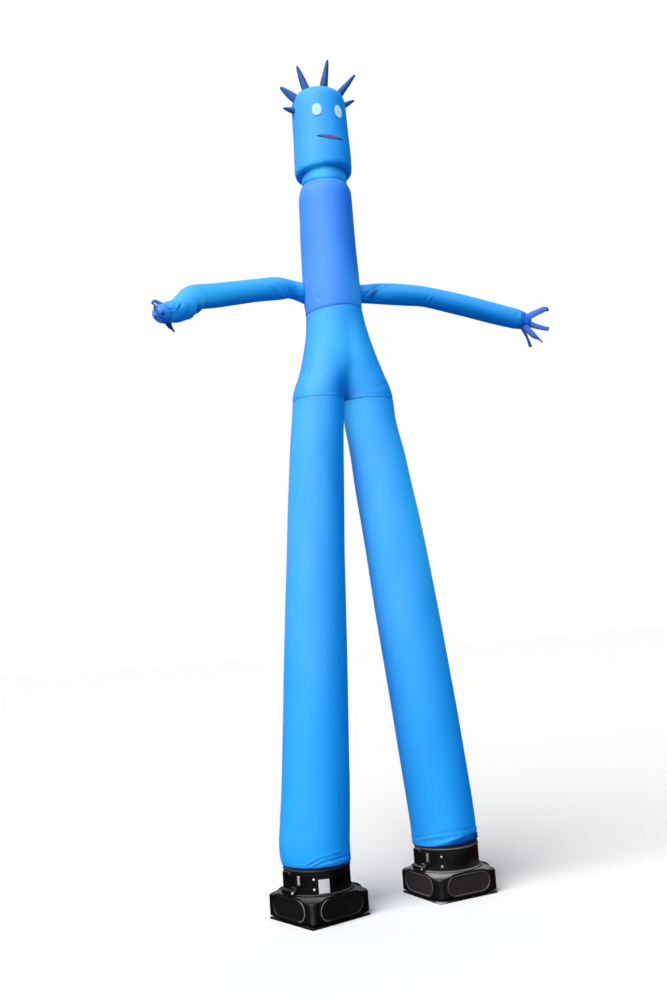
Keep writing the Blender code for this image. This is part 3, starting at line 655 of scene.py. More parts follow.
def fromSeams(along, first=3):
    # the distance from the nearer end seam; a turned-in end has three rows beyond its seam
    return lambda a: np.minimum(np.abs(a - along[first]), np.abs(along[-4] - a))


collar = {"radius": 232.5 * mm, "wall": 6 * mm, "bottom": 202.6 * mm, "top": 356.6 * mm, "lip": 4 * mm}
cuff = {"radius": 232.3 * mm, "thickness": 5 * mm, "bottom": 356.9 * mm, "top": 394.9 * mm}
hem = {"bottom": 301.6 * mm, "belowRim": 0.35, "tuckRadius": 225.6 * mm, "hangRadius": 236.3 * mm}

legs = {
    "left": {
        # z, x, r
        "sections": [
            (374, -524, 241), (390, -525, 244), (420, -528, 246), (490, -529, 248), (650, -515, 246),
            (820, -499, 243), (1150, -475, 238.5), (1480, -451, 232.5), (1820, -427, 227.5), (2160, -403, 221),
            (2510, -377, 213.5), (2780, -355, 209.5), (3040, -333, 204), (3310, -310, 200), (3410, -300, 198.5),
            (3500, -289, 197), (3669.7, -268, 197.5),
        ],
        "slope": -0.015,
        "seed": 11,
        "folds": [
            (-38, 398, -17, 446, 5, 5), (-17, 446, 28, 465, 6, 4.5), (-34, 385, -9, 428, 5, 5),
            (-9, 428, 27, 442, 5, 4.5), (27, 442, 60, 432, 6, 4), (-20, 388, 14, 404, 5, 4.5),
            (14, 404, 60, 398, 6, 4), (-36, 392, -12, 436, 5, -5), (-12, 437, 30, 453, 5, -5),
            (-28, 386, -4, 414, 5, -5), (-4, 414, 30, 424, 6, -6.5), (30, 424, 66, 414, 6, -6),
            (-66, 392, -44, 396, 6, 2.5), (-64, 402, -40, 412, 7, -2), (100, 392, 150, 425, 7, -5),
            (104, 402, 152, 436, 6, 4), (150, 400, 190, 436, 8, 4), (-160, 390, -130, 415, 8, -3.5),
        ],
        # painted shadow at the hem: turn, and its height in mm
        "paintedShadow": [(-180, 4), (-60, 4), (-20, 5), (20, 10), (60, 14), (90, 6), (180, 4)],
        # painted shade, and painted light where the amount is negative
        "paintedShadeAndLight": [(-75, 3500, 25, 500, -0.35)],
    },
    "right": {
        "sections": [
            (384, 508, 241.5), (400, 508, 241.5), (430, 506, 240), (520, 500, 240), (700, 485, 242),
            (1050, 450, 242.5), (1400, 413, 242), (1760, 373, 240), (2120, 332, 237), (2490, 289, 231),
            (2760, 254, 224.5), (3040, 216, 215.5), (3310, 181, 205), (3410, 162, 200.5), (3500, 147, 197.5),
            (3669.7, 133, 197),
        ],
        "slope": 0.06,
        "seed": 12,
        "folds": [
            (-100, 410, -55, 449, 6, 5.5), (-55, 449, -17, 461, 6, 6), (-17, 461, 36, 456, 6, 6.5),
            (36, 456, 78, 440, 6, 5), (-98, 420, -55, 459, 6, -5), (-55, 459, -17, 472, 6, -5.5),
            (-17, 472, 38, 468, 6, -5.5), (-75, 418, -20, 434, 8, -4), (-40, 398, 10, 440, 6, 4.5),
            (10, 440, 56, 430, 6, 4), (-20, 396, 20, 424, 8, -6), (20, 422, 66, 412, 10, -7),
            (-73, 396, -71, 442, 4, 4.5), (-66, 396, -64, 425, 5, -3), (70, 470, 170, 440, 9, 5),
            (75, 455, 175, 425, 8, -5), (-175, 438, -105, 424, 9, 4),
        ],
        # painted shadow at the hem: turn, and its height in mm
        "paintedShadow": [
            (-180, 4), (-60, 4), (-42, 12), (-28, 24), (-14, 36), (5, 52), (30, 66), (60, 60), (100, 12), (180, 4),
        ],
        # painted shade, and painted light where the amount is negative
        "paintedShadeAndLight": [(-78, 3600, 30, 280, -0.9), (-70, 2700, 40, 800, -0.3), (35, 2750, 35, 950, -0.5)],
    },
}


def makeLeg(side):
    leg = legs[side]
    turns = turnsOf(168)
    z, x, r = throughRows(metres(leg["sections"]), 22 * mm, 4.5 * mm, 0.22).T
    push = unevenPush(turns, z, float(r.mean()), range(leg["seed"], 100, 20), leg["folds"],
                      [(z[0], 0.035, 2.4, (17, 23, 31, 41)), (z[-1], 0.03, 1.8, (29, 37, 53))], 1.1)
    push *= 1 - np.exp(-((z - z[0]) / (8 * mm)) ** 2)[:, None] * 0.6
    tucked, hangs, top = hem["tuckRadius"], hem["hangRadius"], cuff["top"]
    least = hangs + 3 * mm - 0.05 * np.clip((z - z[0]) / 0.06 - 0.4, 0, 1)
    reach = np.maximum(r[:, None] + push, least[:, None])
    slope = (leg["slope"], 0.0)
    outer = uprightPoints(z, x, reach, turns, slope, np.clip(1 - (z - z[0]) / 0.12, 0, 1))

    # the hem inside the collar, over the cuff and down to the hanging edge
    edge = z[0] - 3 * mm
    tuck = [
        (hem["bottom"], tucked - 3 * mm, 0), (hem["bottom"] + 12 * mm, tucked, 0), (hem["belowRim"], tucked, 0),
        (top + 1 * mm, tucked, 0), (top + 4 * mm, tucked + 3 * mm, 0), (top + 4.5 * mm, hangs - 2 * mm, 0),
        (top + 1 * mm, hangs, 0), (edge + 5 * mm, hangs, 1), (edge + 0.5 * mm, hangs + 0.8 * mm, 1),
        (edge, hangs + 2.6 * mm, 1),
    ]
    tz, tr, tl = np.array(tuck, float).T
    middle = np.full(len(tz), blowers[side]["x"])
    inner = uprightPoints(tz, middle, tr[:, None], turns, slope, tl)
    points = turnedIn(np.concatenate([inner, outer]), first=False)
    along = lengthAlong(points)
    hemAt = along[len(tuck)]
    # painted shadow over the hem and its hollows, up to the height listed for each turn; the tuck inside the collar is
    # all in painted shadow
    paintedShadow = np.interp(np.degrees(turns), *zip(*leg["paintedShadow"])) * mm
    shade = np.clip(1.15 - (z - z[0])[:, None] / paintedShadow, 0, 1) + creaseShade(push) + paintedShading(leg["paintedShadeAndLight"], turns, z)
    shade = np.concatenate([np.ones((len(tuck), len(turns))), np.clip(shade, -1, 1), np.zeros((3, len(turns)))])
    clothTube(
        "leg_" + side, points, skyCloth,
        lambda a: np.where(a < hemAt, 0.5, np.minimum(np.abs(a - hemAt - 16 * mm) + 3 * mm, np.abs(along[-4] - a))),
        2 * math.pi * float(r.max()), shade,
    )


for side in blowers:
    makeLeg(side)
print("legs made")

hips = {
    "radius": 0.3,  # that its folds are measured at
    "widest": 0.214,
    "widthOfLobes": 0.26,  # what the two lobes add to the width of the cut
    # z, x, half the spread between the two lobes, r
    "sections": [
        (3670, -67, 198.5, 197.5), (3720, -67, 193, 198.5), (3780, -66, 174, 199.5), (3870, -66, 136, 200),
        (3965, -70, 103, 201), (4060, -75, 73, 202.5), (4150, -79, 46, 205), (4230, -84, 25, 208),
        (4300, -89, 10, 211.5), (4357, -94, 0, 214),
    ],
    # height, and how far the hollow between the two lobes is filled
    "soften": [
        (3670, 0.05), (3720, 0.1), (3760, 0.13), (3800, 0.15), (3840, 0.16), (3880, 0.165), (3965, 0.165),
        (4060, 0.15), (4150, 0.11), (4230, 0.06), (4360, 0.02),
    ],
    # painted shade, and painted light where the amount is negative
    "paintedShadeAndLight": [
        (-24, 3670, 15, 150, 0.44), (0, 4120, 80, 280, -0.22), (-60, 3690, 26, 50, -0.2), (20, 3780, 24, 80, -0.18),
        (-14, 4030, 18, 150, -0.42), (3, 3830, 14, 60, -0.35), (14, 4050, 12, 160, -0.22),
    ],
    "waistSlope": (0.085, -0.035),
    "folds": [(-60, 3690, -12, 3700, 7, -2.5), (14, 3700, 55, 3690, 7, -2.5), (40, 3735, 62, 3790, 12, -2.5)],
}


def lobedReach(spread, radius, turns, soft):
    # the outline of two round lobes side by side, met from the point between them
    sideways, ahead = np.abs(np.sin(turns)), np.cos(turns)
    spread, radius, soft = spread[:, None], radius[:, None], soft[:, None]
    eased = np.sqrt(sideways**2 + soft**2) / np.sqrt(1 + soft**2)
    left = np.maximum(radius**2 - (spread * ahead) ** 2, (1.5 * mm) ** 2)
    return spread * eased + np.sqrt(left)


def makeHips():
    turns = turnsOf(208)
    z, x, spread, r = throughRows(metres(hips["sections"]), 9 * mm, 4 * mm, 0.12).T
    heights, filled = np.array(hips["soften"]).T
    soft = np.interp(z, heights / 1000, filled)
    reach = lobedReach(np.maximum(spread, 0), r, turns[None, :], soft)
    push = unevenPush(turns, z, hips["radius"], range(51, 54), hips["folds"],
                      [(z[-1], 0.03, 2.0, (31, 43, 59)), (z[0], 0.035, 2.2, (33, 47, 61))], 1.0,
                      [(z[-1], 1.6, 9), (z[0], 0.8, 9)])
    lean = np.clip(1 - (z[-1] - z) / 0.16, 0, 1) ** 2
    points = uprightPoints(z, x, reach + push * np.clip(reach / 0.05, 0, 1), turns, hips["waistSlope"], lean)
    points = turnedIn(points, first=False)
    shade = np.clip(paintedShading(hips["paintedShadeAndLight"], turns, z) + creaseShade(push), -1, 1)
    width = 2 * math.pi * hips["widest"] + hips["widthOfLobes"]
    clothTube("hips", points, skyCloth, fromSeams(lengthAlong(points), 0), width, widened(shade, 0, 3))


makeHips()
print("hips made")

torso = {
    "radius": 0.215,  # that its folds are measured at
    "widest": 0.2185,  # radius that the cut's width comes from
    "sections": [
        (4357.3, -94, 214), (4420, -96, 217), (4500, -98, 218.5), (4600, -100, 218), (4700, -101, 216),
        (4800, -102, 213.5), (4950, -103, 211.5), (5090, -101, 208.5), (5190, -101, 207), (5260, -100, 205),
        (5310, -98, 199), (5345, -98, 188), (5364, -98, 176), (5374, -98, 168),
    ],
    # turn, height and radius of the holes that the arms leave by
    "armRoots": [(-119, 4512, 79), (90, 4517, 71)],
    "folds": [
        (-62, 4470, -50, 4400, 14, -3.5), (-58, 4560, -44, 4660, 14, -3), (52, 4440, 60, 4380, 12, -3.5),
        (60, 4600, 50, 4720, 14, -3),
    ],
    # painted light near the right arm's root
    "paintedShadeAndLight": [(36, 4470, 30, 170, -0.45)],
}
neck = {
    "widest": 0.1745,
    "sections": [(5374.3, -98, 168), (5385, -98, 171.5), (5405, -98, 174.5), (5430, -99, 174.5), (5455, -100, 171)],
    "chinSlope": (0.0, -0.05),
    # painted light on the neck
    "paintedShadeAndLight": [(-30, 5410, 33, 100, -0.95), (38, 5410, 22, 100, -0.2)],
}
head = {
    "widest": 0.2215,
    "sections": [
        (5455.3, -100, 171), (5451, -100, 185), (5451, -100, 197), (5456, -100, 208), (5469, -100, 216.5),
        (5490, -100, 221), (5540, -99, 221.5), (5620, -98, 221), (5720, -99, 217.5), (5820, -101, 215),
        (5920, -102, 213.5), (6000, -103, 211.5), (6045, -104, 207), (6080, -103, 195), (6105, -102, 176),
        (6125, -101, 143), (6140, -100, 95), (6147, -100, 45), (6149, -100, 3),
    ],
    "seamFrom": 5.93,  # the seam that the hair is sewn into runs over the head from here
    # painted shade under the chin, and painted light where the amount is negative
    "paintedShadeAndLight": [(4, 5475, 24, 22, 0.24), (32, 5475, 22, 30, 0.15), (-42, 5475, 26, 30, -0.4)],
}


def rootPush(roots, turns, z, radius):
    # the raised seam round the hole that an arm leaves by
    push = np.zeros((len(z), len(turns)))
    for turn, height, size in roots:
        apart = np.hypot(turnsFrom(turns, turn)[None, :] * radius, (z - height / 1000)[:, None])
        push += 3 * mm * np.exp(-(((apart - size / 1000 - 3 * mm) / (6 * mm)) ** 2))
    return push


def makeTorso():
    turns = turnsOf(160)
    z, x, r = throughRows(metres(torso["sections"]), 10 * mm, 4 * mm).T
    push = unevenPush(turns, z, torso["radius"], range(61, 64), torso["folds"],
                      [(z[0], 0.028, 2.0, (31, 43, 59)), (z[-1], 0.03, 2.0, (27, 39, 51))], 0.9,
                      [(z[0], 3.0, 9), (z[-1], 1.5, 7)], rootPush(torso["armRoots"], turns, z, torso["radius"]))
    lean = np.clip(1 - (z - z[0]) / 0.16, 0, 1) ** 2
    points = uprightPoints(z, x, r[:, None] + push, turns, hips["waistSlope"], lean)
    points = turnedIn(turnedIn(points, first=True), first=False)
    shade = paintedShading(torso["paintedShadeAndLight"], turns, points[:, 0, 2])
    clothTube("torso", points, royalCloth, fromSeams(lengthAlong(points)),
              2 * math.pi * torso["widest"], shade)


def makeNeck():
    turns = turnsOf(144)
    z, x, r = throughRows(metres(neck["sections"]), 4 * mm, 3 * mm).T
    push = unevenPush(turns, z, 1.0, range(71, 73), (),
                      [(z[0], 0.03, 1.6, (27, 39, 51)), (z[-1], 0.03, 1.6, (29, 41))], 0.0, [(z[0], 1.5, 7)])
    points = uprightPoints(z, x, r[:, None] + push, turns, neck["chinSlope"], np.clip((z - 5.395) / 0.06, 0, 1))
    points = turnedIn(turnedIn(points, first=True), first=False)
    shade = paintedShading(neck["paintedShadeAndLight"], turns, points[:, 0, 2])
    clothTube("neck", points, skyCloth, fromSeams(lengthAlong(points)), 2 * math.pi * neck["widest"],
              shade)


def makeHead():
    turns = turnsOf(160)
    z, x, r = throughRows(metres(head["sections"]), 9 * mm, 4 * mm).T
    push = unevenPush(turns, z, 1.0, range(73, 76), (),
                      [(5.455, 0.035, 2.0, (29, 41, 55)), (6.1, 0.03, 1.6, (19, 27, 35))], 0.8)
    # the seam over the top, in the plane that the hair stands in
    beside = np.abs(r[:, None] * np.cos(turns))
    high = np.clip((z - head["seamFrom"]) / 0.05, 0, 1)[:, None]
    push += high * (1.8 * mm * np.exp(-((beside / (4 * mm)) ** 2)) - 1.2 * mm * np.exp(-((beside / (14 * mm)) ** 2)))
    push *= np.clip(r / 0.12, 0, 1)[:, None]
    points = uprightPoints(z, x, r[:, None] + push, turns, neck["chinSlope"], np.clip((5.515 - z) / 0.06, 0, 1))
    points = turnedIn(points, first=True)
    shade = paintedShading(head["paintedShadeAndLight"], turns, z)
    along = lengthAlong(points)
    ends = np.abs(along - along[3])[:, None] + np.zeros(len(turns))
    ends[3:] = np.minimum(ends[3:], np.maximum(np.where(high > 0.5, beside, 1.0), 1 * mm))
    clothTube("head", points, skyCloth, ends, 2 * math.pi * head["widest"], widened(shade, 3, 0),
              closed=True)


makeTorso()
makeNeck()
makeHead()
print("torso, neck and head made")


def outsideUpright(sections, gap, top=None):
    # gives how far points are outside an upright tube
    z, x, r = metres(sections).T

    def outside(points):
        middle = np.interp(points[:, 2], z, x)
        reach = np.interp(points[:, 2], z, r)
        apart = np.hypot(points[:, 0] - middle, points[:, 1]) - reach
        if top is not None:
            apart = np.where(points[:, 2] > top, points[:, 2] - top, apart)
        return apart - gap

    return outside


arms = {
    "left": {
        # x, y, z, r
        "sections": [
            (-250, 85, 4517, 78), (-304, 80, 4532, 74.5), (-411, 65, 4548, 70.5), (-514, 40, 4539, 84),
            (-715, 0, 4497, 84), (-928, -50, 4441, 86.5), (-1080, -85, 4402, 88.5), (-1165, -113, 4381, 88.5),
            (-1208, -130, 4369, 89.5), (-1246, -147, 4345, 98.5), (-1322, -180, 4281, 90.5), (-1385, -200, 4235, 82),
            (-1441, -226, 4214, 75.5), (-1475, -245, 4198, 73), (-1500, -264, 4188, 69.5),
        ],
        "palm": [(-1520, -279, 4182, 64), (-1540, -292, 4177, 54), (-1557, -303, 4172, 41), (-1569, -311, 4170, 24)],
        "seed": 81,
        # 90 degrees is the top of this arm
        "folds": [
            (12, 335, -30, 275, 11, -6), (-20, 275, -85, 165, 7, 5), (-50, 262, -105, 175, 9, -6),
            (20, 160, -70, 130, 12, -5), (-40, 1000, -120, 1060, 34, -9), (-25, 1105, -125, 1125, 11, -16),
            (-20, 1165, -115, 1190, 20, 9), (-5, 1190, -60, 1260, 8, -4), (28, 1230, -6, 1305, 7, -6),
            (30, 1275, -2, 1325, 7, 4), (-150, 1050, -230, 1080, 20, -5),
        ],
        "palmDents": [(-32, 52, -18, 62, 12, -14)],
        "palmLit": 0.05,
        "seam": (6 * mm, 8 * mm, -25),
        # painted shade, and painted light where the amount is negative
        "paintedShadeAndLight": [
            (-5, 550, 33, 420, -0.55), (-5, 1000, 35, 170, -0.7), (-48, 1100, 30, 30, 0.35),
            (-20, 1340, 45, 80, -0.25), (-84, 750, 32, 550, 0.32),
        ],
    },
    "right": {
        "sections": [
            (60, -3, 4517, 70), (148, -10, 4525, 70), (258, -20, 4532, 78.5), (378, -30, 4535, 83.5),
            (522, -40, 4534, 83), (672, -50, 4529, 79.5), (760, -57, 4516, 79.5), (860, -65, 4499, 82),
            (1047, -80, 4464, 83.5), (1263, -95, 4419, 83.5), (1430, -105, 4387, 81.5), (1504, -110, 4373, 78),
        ],
        "palm": [(1538, -113, 4366, 71), (1574, -117, 4358, 60), (1598, -120, 4352, 46), (1609, -121, 4350, 25)],
        "seed": 82,
        # -90 degrees is the top of this arm
        "folds": [
            (48, 70, -6, 128, 9, -8), (-6, 128, -42, 258, 8, -7), (30, 120, -14, 180, 12, 4),
            (62, 165, 74, 245, 9, 4), (48, 170, 62, 250, 8, -3.5), (66, 598, 14, 628, 5, -5),
            (64, 614, 4, 650, 5, 4), (58, 640, 20, 662, 5, -4), (30, 580, 10, 602, 5, 3),
            (-40, 655, -20, 660, 8, -2), (-60, 1440, 20, 1400, 8, -3),
        ],
        "palmDents": [(-30, 15, 10, 40, 11, -8), (30, 20, 60, 50, 9, -6)],
        "palmLit": 0.0,
        "seam": (0.0, 0.0, 0),
        # painted shade, and painted light where the amount is negative
        "paintedShadeAndLight": [
            (84, 750, 34, 850, 0.34), (-50, 140, 22, 45, 0.3), (-12, 105, 24, 35, 0.4), (18, 75, 24, 35, 0.4),
            (30, 200, 22, 60, -0.2),
        ],
    },
}
# radii that folds and dents are measured at, and those that the cut's width comes from
limb = {"foldRadius": 0.078, "armRadius": 0.085, "palmRadius": 0.07, "dentRadius": 0.06}
limbRows = {}


def makeArm(side):
    arm = arms[side]
    turns = turnsOf(80)
    rows = throughRows(metres(arm["sections"] + arm["palm"]), 6 * mm, 4 * mm)
    limbRows[side] = rows
    run = lengthOf(rows)
    wrist = int(np.argmin(np.linalg.norm(rows[:, :3] - metres(arm["sections"][-1][:3]), axis=1)))
    palmRun = run - run[wrist]
    push = unevenPush(turns, run, limb["foldRadius"], range(arm["seed"], arm["seed"] + 3), arm["folds"],
                      [(run[wrist], 0.03, 2.6, (11, 15, 19)), (0.1, 0.05, 4.0, (7, 11, 13))], 0.9,
                      [(run[wrist], 3.0, 8)])
    push += foldPush(arm["palmDents"], turns, palmRun, limb["dentRadius"]) * (palmRun > 0)[:, None]
    points = limbPoints(rows, turns, push)
    shade = np.clip(creaseShade(push) + paintedShading(arm["paintedShadeAndLight"], turns, run), -1, 1)
    # the wrist's seam isn't square to the arm
    shift, swing, nearest = arm["seam"]
    near = np.exp(-((palmRun / 0.07) ** 2))
    for j, turn in enumerate(turns):
        moved = run + (shift + swing * math.cos(turn - math.radians(nearest))) * near
        points[:, j] = atPlaces(points[:, j], moved, run)
        shade[:, j] = np.interp(moved, run, shade[:, j])

    upper = trimmed(points[: wrist + 1], outsideUpright(torso["sections"], 1 * mm))
    upper = turnedIn(upper, first=False)
    clothTube("arm_" + side, upper, skyCloth, fromSeams(lengthAlong(upper), 0),
              2 * math.pi * limb["armRadius"], widened(shade[: wrist + 1], 0, 3))

    palm = points[wrist:].copy()
    palm[0] += (palm[1] - palm[0]) * 0.15
    tip = palm[-1].mean(axis=0)
    palm = np.concatenate([palm, tip + (palm[-1:] - tip) * 0.55, tip + (palm[-1:] - tip) * 0.08])
    palm = turnedIn(palm, first=True)
    along = lengthAlong(palm)
    # the palm's painted shade, made 1.8 times as strong, less its painted light palmLit
    clothTube("palm_" + side, palm, royalCloth, lambda a: np.abs(a - along[3]),
              2 * math.pi * limb["palmRadius"],
              np.clip(widened(shade[wrist:], 3, 2) * 1.8 - arm["palmLit"], -1, 1), closed=True)


for side in blowers:
    makeArm(side)
print("arms and palms made")


def outsideRun(rows, gap):
    # gives how far points are outside a bent tube with flat ends
    def outside(points):
        apart = np.full(len(points), 9.0)
        for first, last in zip(rows[:-1], rows[1:]):
            step = last[:3] - first[:3]
            share = (points - first[:3]) @ step / (step @ step)
            within = np.clip(share, 0, 1)[:, None]
            away = np.linalg.norm(points - first[:3] - within * step, axis=1)
            radius = first[3] + (last[3] - first[3]) * within[:, 0]
            beyond = np.abs(share - within[:, 0]) * np.linalg.norm(step)
            level = np.sqrt(np.maximum(away**2 - beyond**2, 0)) - radius
            apart = np.minimum(apart, np.where(beyond > 1e-9, np.maximum(level, 0) + beyond, level))
        return apart - gap

    return outside


fingers = {
    "left": [
        [(-1490, -268, 4222, 19), (-1512, -275, 4243, 16.5), (-1538, -285, 4255, 13), (-1565, -295, 4261, 12),
         (-1578, -300, 4254, 10), (-1583, -300, 4238, 8)],
        [(-1520, -290, 4200, 16), (-1548, -306, 4213, 13), (-1566, -318, 4219, 10), (-1578, -330, 4224, 7)],
        [(-1535, -300, 4184, 15), (-1565, -330, 4185, 13), (-1580, -352, 4188, 10), (-1588, -370, 4192, 7)],
        [(-1520, -285, 4140, 18), (-1550, -305, 4133, 15), (-1567, -322, 4137, 11), (-1575, -336, 4149, 7.5)],
        [(-1470, -245, 4145, 21), (-1459, -240, 4122, 19.5), (-1448, -237, 4104, 15), (-1433, -235, 4089, 8.5),
         (-1420, -235, 4070, 5)],
    ],
    "right": [
        [(1570, -115, 4378, 26), (1605, -116, 4400, 25.5), (1651, -120, 4425, 26.5), (1698, -130, 4446, 24.5),
         (1743, -135, 4465, 23), (1771, -140, 4470, 18), (1784, -140, 4456, 12)],
        [(1560, -120, 4350, 28), (1600, -124, 4336, 26), (1632, -135, 4324, 23.5), (1682, -150, 4307, 20),
         (1748, -170, 4290, 17.5)],
        [(1538, -137, 4319, 22), (1559, -147, 4284, 23.5), (1584, -156, 4252, 24.5), (1615, -162, 4222, 20),
         (1645, -163, 4204, 10.5), (1680, -170, 4175, 5)],
        [(1546, -85, 4330, 18), (1565, -80, 4302, 15), (1587, -78, 4261, 11.5), (1605, -78, 4215, 10.5),
         (1615, -78, 4185, 13), (1623, -78, 4159, 12.5)],
    ],
}
# painted shade for each finger, and painted light where it is negative
fingerPaintedShadeAndLight = {"left": [-0.55, -0.8, -0.8, -0.35, 0.55], "right": [-0.6, -0.5, -0.4, -0.15]}
hair = {
    # foot on the head, free tip, and the radius just above the foot
    "spikes": [
        ((-305, 0, 5965), (-400, 0, 5976), 23), ((-285, 0, 6060), (-415, 0, 6144), 34),
        ((-174, 0, 6085), (-263, 0, 6342), 34), ((-66, 0, 6110), (3, 0, 6437), 33),
        ((30, 0, 6095), (236, 0, 6350), 29), ((85, 0, 6052), (214, 0, 6133), 23),
    ],
    "profile": [(0.0, 0.92), (0.22, 1.0), (0.5, 0.82), (0.78, 0.56), (0.94, 0.36), (1.0, 0.22)],
    # painted shade for each spike, and painted light where it is negative
    "paintedShadeAndLight": [0.0, -0.25, 0.0, 0.3, 0.0, 0.0],
    "fullSize": 0.025,  # radius of a finger or spike that puckers as much as it can
}


def openTip(points, depth):
    # folds the free end of a tube back inside itself, so that it shows a hem round a dark mouth
    ring, before = points[-1], points[-2]
    middle = ring.mean(axis=0)
    back = before.mean(axis=0) - middle
    back /= np.linalg.norm(back)
    bands = [middle + (ring - middle) * 0.9 - back * 0.6 * mm, middle + (ring - middle) * 0.72,
             middle + (ring - middle) * 0.66 + back * depth]
    return np.concatenate([points, np.array(bands)])


def sewnStrip(node, rows, outside, seed, tone=0.0):
    # a narrow tapered tube, a finger or a hair spike
    turns = turnsOf(36)
    run = lengthOf(rows)
    size = rows[:, 3:4] / hair["fullSize"]
    push = size * puckerPush(turns, run, 0.0, 0.09, 2.4 * mm, (3, 5, 7), seed)
    push += size * billowPush(turns, run * 6, 0.9 * mm, seed + 1, 6)
    points = trimmed(limbPoints(rows, turns, push), outside)
    points = openTip(points, 8 * mm)
    along = lengthAlong(points)
    tip = along[-1]
    # painted shade deepening towards the open tip, over the strip's own painted shade or light
    shade = tone + (0.9 - tone) * np.clip(1 - (tip - along) / (0.1 * tip + 16 * mm), 0, 1) ** 1.3
    width = 2 * math.pi * float(rows[:, 3].max())
    clothTube(node, points, deepCloth, lambda a: a, width, shade[:, None])


headOuter = [row for row in head["sections"] if row[0] > 5480]
for side in blowers:
    for number, sections in enumerate(fingers[side], start=1):
        rows = throughRows(metres(sections), 2.5 * mm, 2 * mm, 0.02)
        sewnStrip(f"finger_{side}_{number}", rows, outsideRun(limbRows[side], 0.6 * mm), 100 + number,
                  fingerPaintedShadeAndLight[side][number - 1])
for number, (foot, tip, radius) in enumerate(hair["spikes"], start=1):
    foot, tip, radius = metres(foot), metres(tip), radius / 1000
    sections = np.array([(*foot + at * (tip - foot), radius * swell) for at, swell in hair["profile"]])
    rows = throughRows(sections, 3 * mm, 2 * mm, 0.03)
    sewnStrip(f"hair_{number}", rows, outsideUpright(headOuter, 1.0 * mm, headOuter[-1][0] / 1000), 120 + number,
              hair["paintedShadeAndLight"][number - 1])
print("fingers and hair made")

face = {
    "turn": -4.4,  # degrees
    "eyeSpread": 24.4,
    "eyeLevel": 5.9,
    "eyeHalf": (0.039, 0.052),
    "mouthLevel": 5.688,
    "mouthHalf": (0.119, 0.0155),
    "mouthDrop": 0.006,
    "mouthTilt": -0.085,
    "lift": 1.6 * mm,
    "crown": 1.6 * mm,  # how far a patch's middle stands out further than its edge
    "pupil": (9e-3, 11e-3),
}


def headAt(z):
    heights, middles, radii = metres(headOuter).T
    return np.interp(z, heights, middles), np.interp(z, heights, radii)


def clothPatch(node, outline, turn, level, material, tone=0.0, pupil=0.0):
    # a sewn-on patch; outline gives its lower and upper edge at each place across, both from its level
    across, low, high = outline
    tall = high - low
    shares = np.linspace(0, 1, 17)[:, None]
    z = level + low + shares * tall
    middle, radius = headAt(z)
    turns = math.radians(turn) + across / radius
    fromEdge = np.minimum(np.minimum(shares, 1 - shares) * tall, across.max() - np.abs(across))
    inside = np.maximum(fromEdge, 0)
    reach = radius + (face["lift"] + face["crown"] * (1 - np.exp(-inside / (5 * mm))))
    points = np.stack([middle + reach * np.sin(turns), -reach * np.cos(turns), z], -1)
    # painted shade round the patch's raised edge
    rim = np.exp(-inside / (4 * mm)) * 0.6
    wide, high = face["pupil"]
    spot = pupil * np.exp(-((across / wide) ** 2 + ((z - level) / high) ** 2))
    mesh = gridMesh(node, points, across, z, (fromEdge, 1.0, np.clip(rim + spot + tone, -1, 1)))
    made = thickened(linked(node + "_patch", mesh, material, node))


def makeFace():
    bend = np.radians(np.linspace(-88, 88, 33))
    wide, tall = face["eyeHalf"]
    eye = (wide * np.sin(bend), -tall * np.cos(bend), tall * np.cos(bend))
    # the right eye gets a painted glow, as a negative shade; the left eye gets none
    for side, turn, tone in (("left", -face["eyeSpread"], 0.0), ("right", face["eyeSpread"], -0.8)):
        clothPatch("eye_" + side, eye, face["turn"] + turn, face["eyeLevel"], whiteCloth, tone, 0.6)
    share = np.linspace(-0.985, 0.985, 49)
    wide, tall = face["mouthHalf"]
    sag = -face["mouthDrop"] * (1 - share**2) + face["mouthTilt"] * wide * (share + 0.6)
    half = tall * (1 - share**2)
    # painted shade at the mouth's corners, stronger at its right end
    corners = np.clip((np.abs(share) - 0.45) / 0.35, 0, 1) * np.where(share > 0, 1.0, 0.7)
    clothPatch("mouth", (wide * share, sag - half, sag + half), face["turn"], face["mouthLevel"], redCloth,
               corners[None, :])


makeFace()
print("face made")


def quarterTurn(number):
    return Matrix.Rotation(math.radians(90 * number), 3, "Z")


def aboutAxis(angle, radius, height):
    # a point round a blower's axis, from the front at 0
    return Vector((radius * math.sin(angle), -radius * math.cos(angle), height))


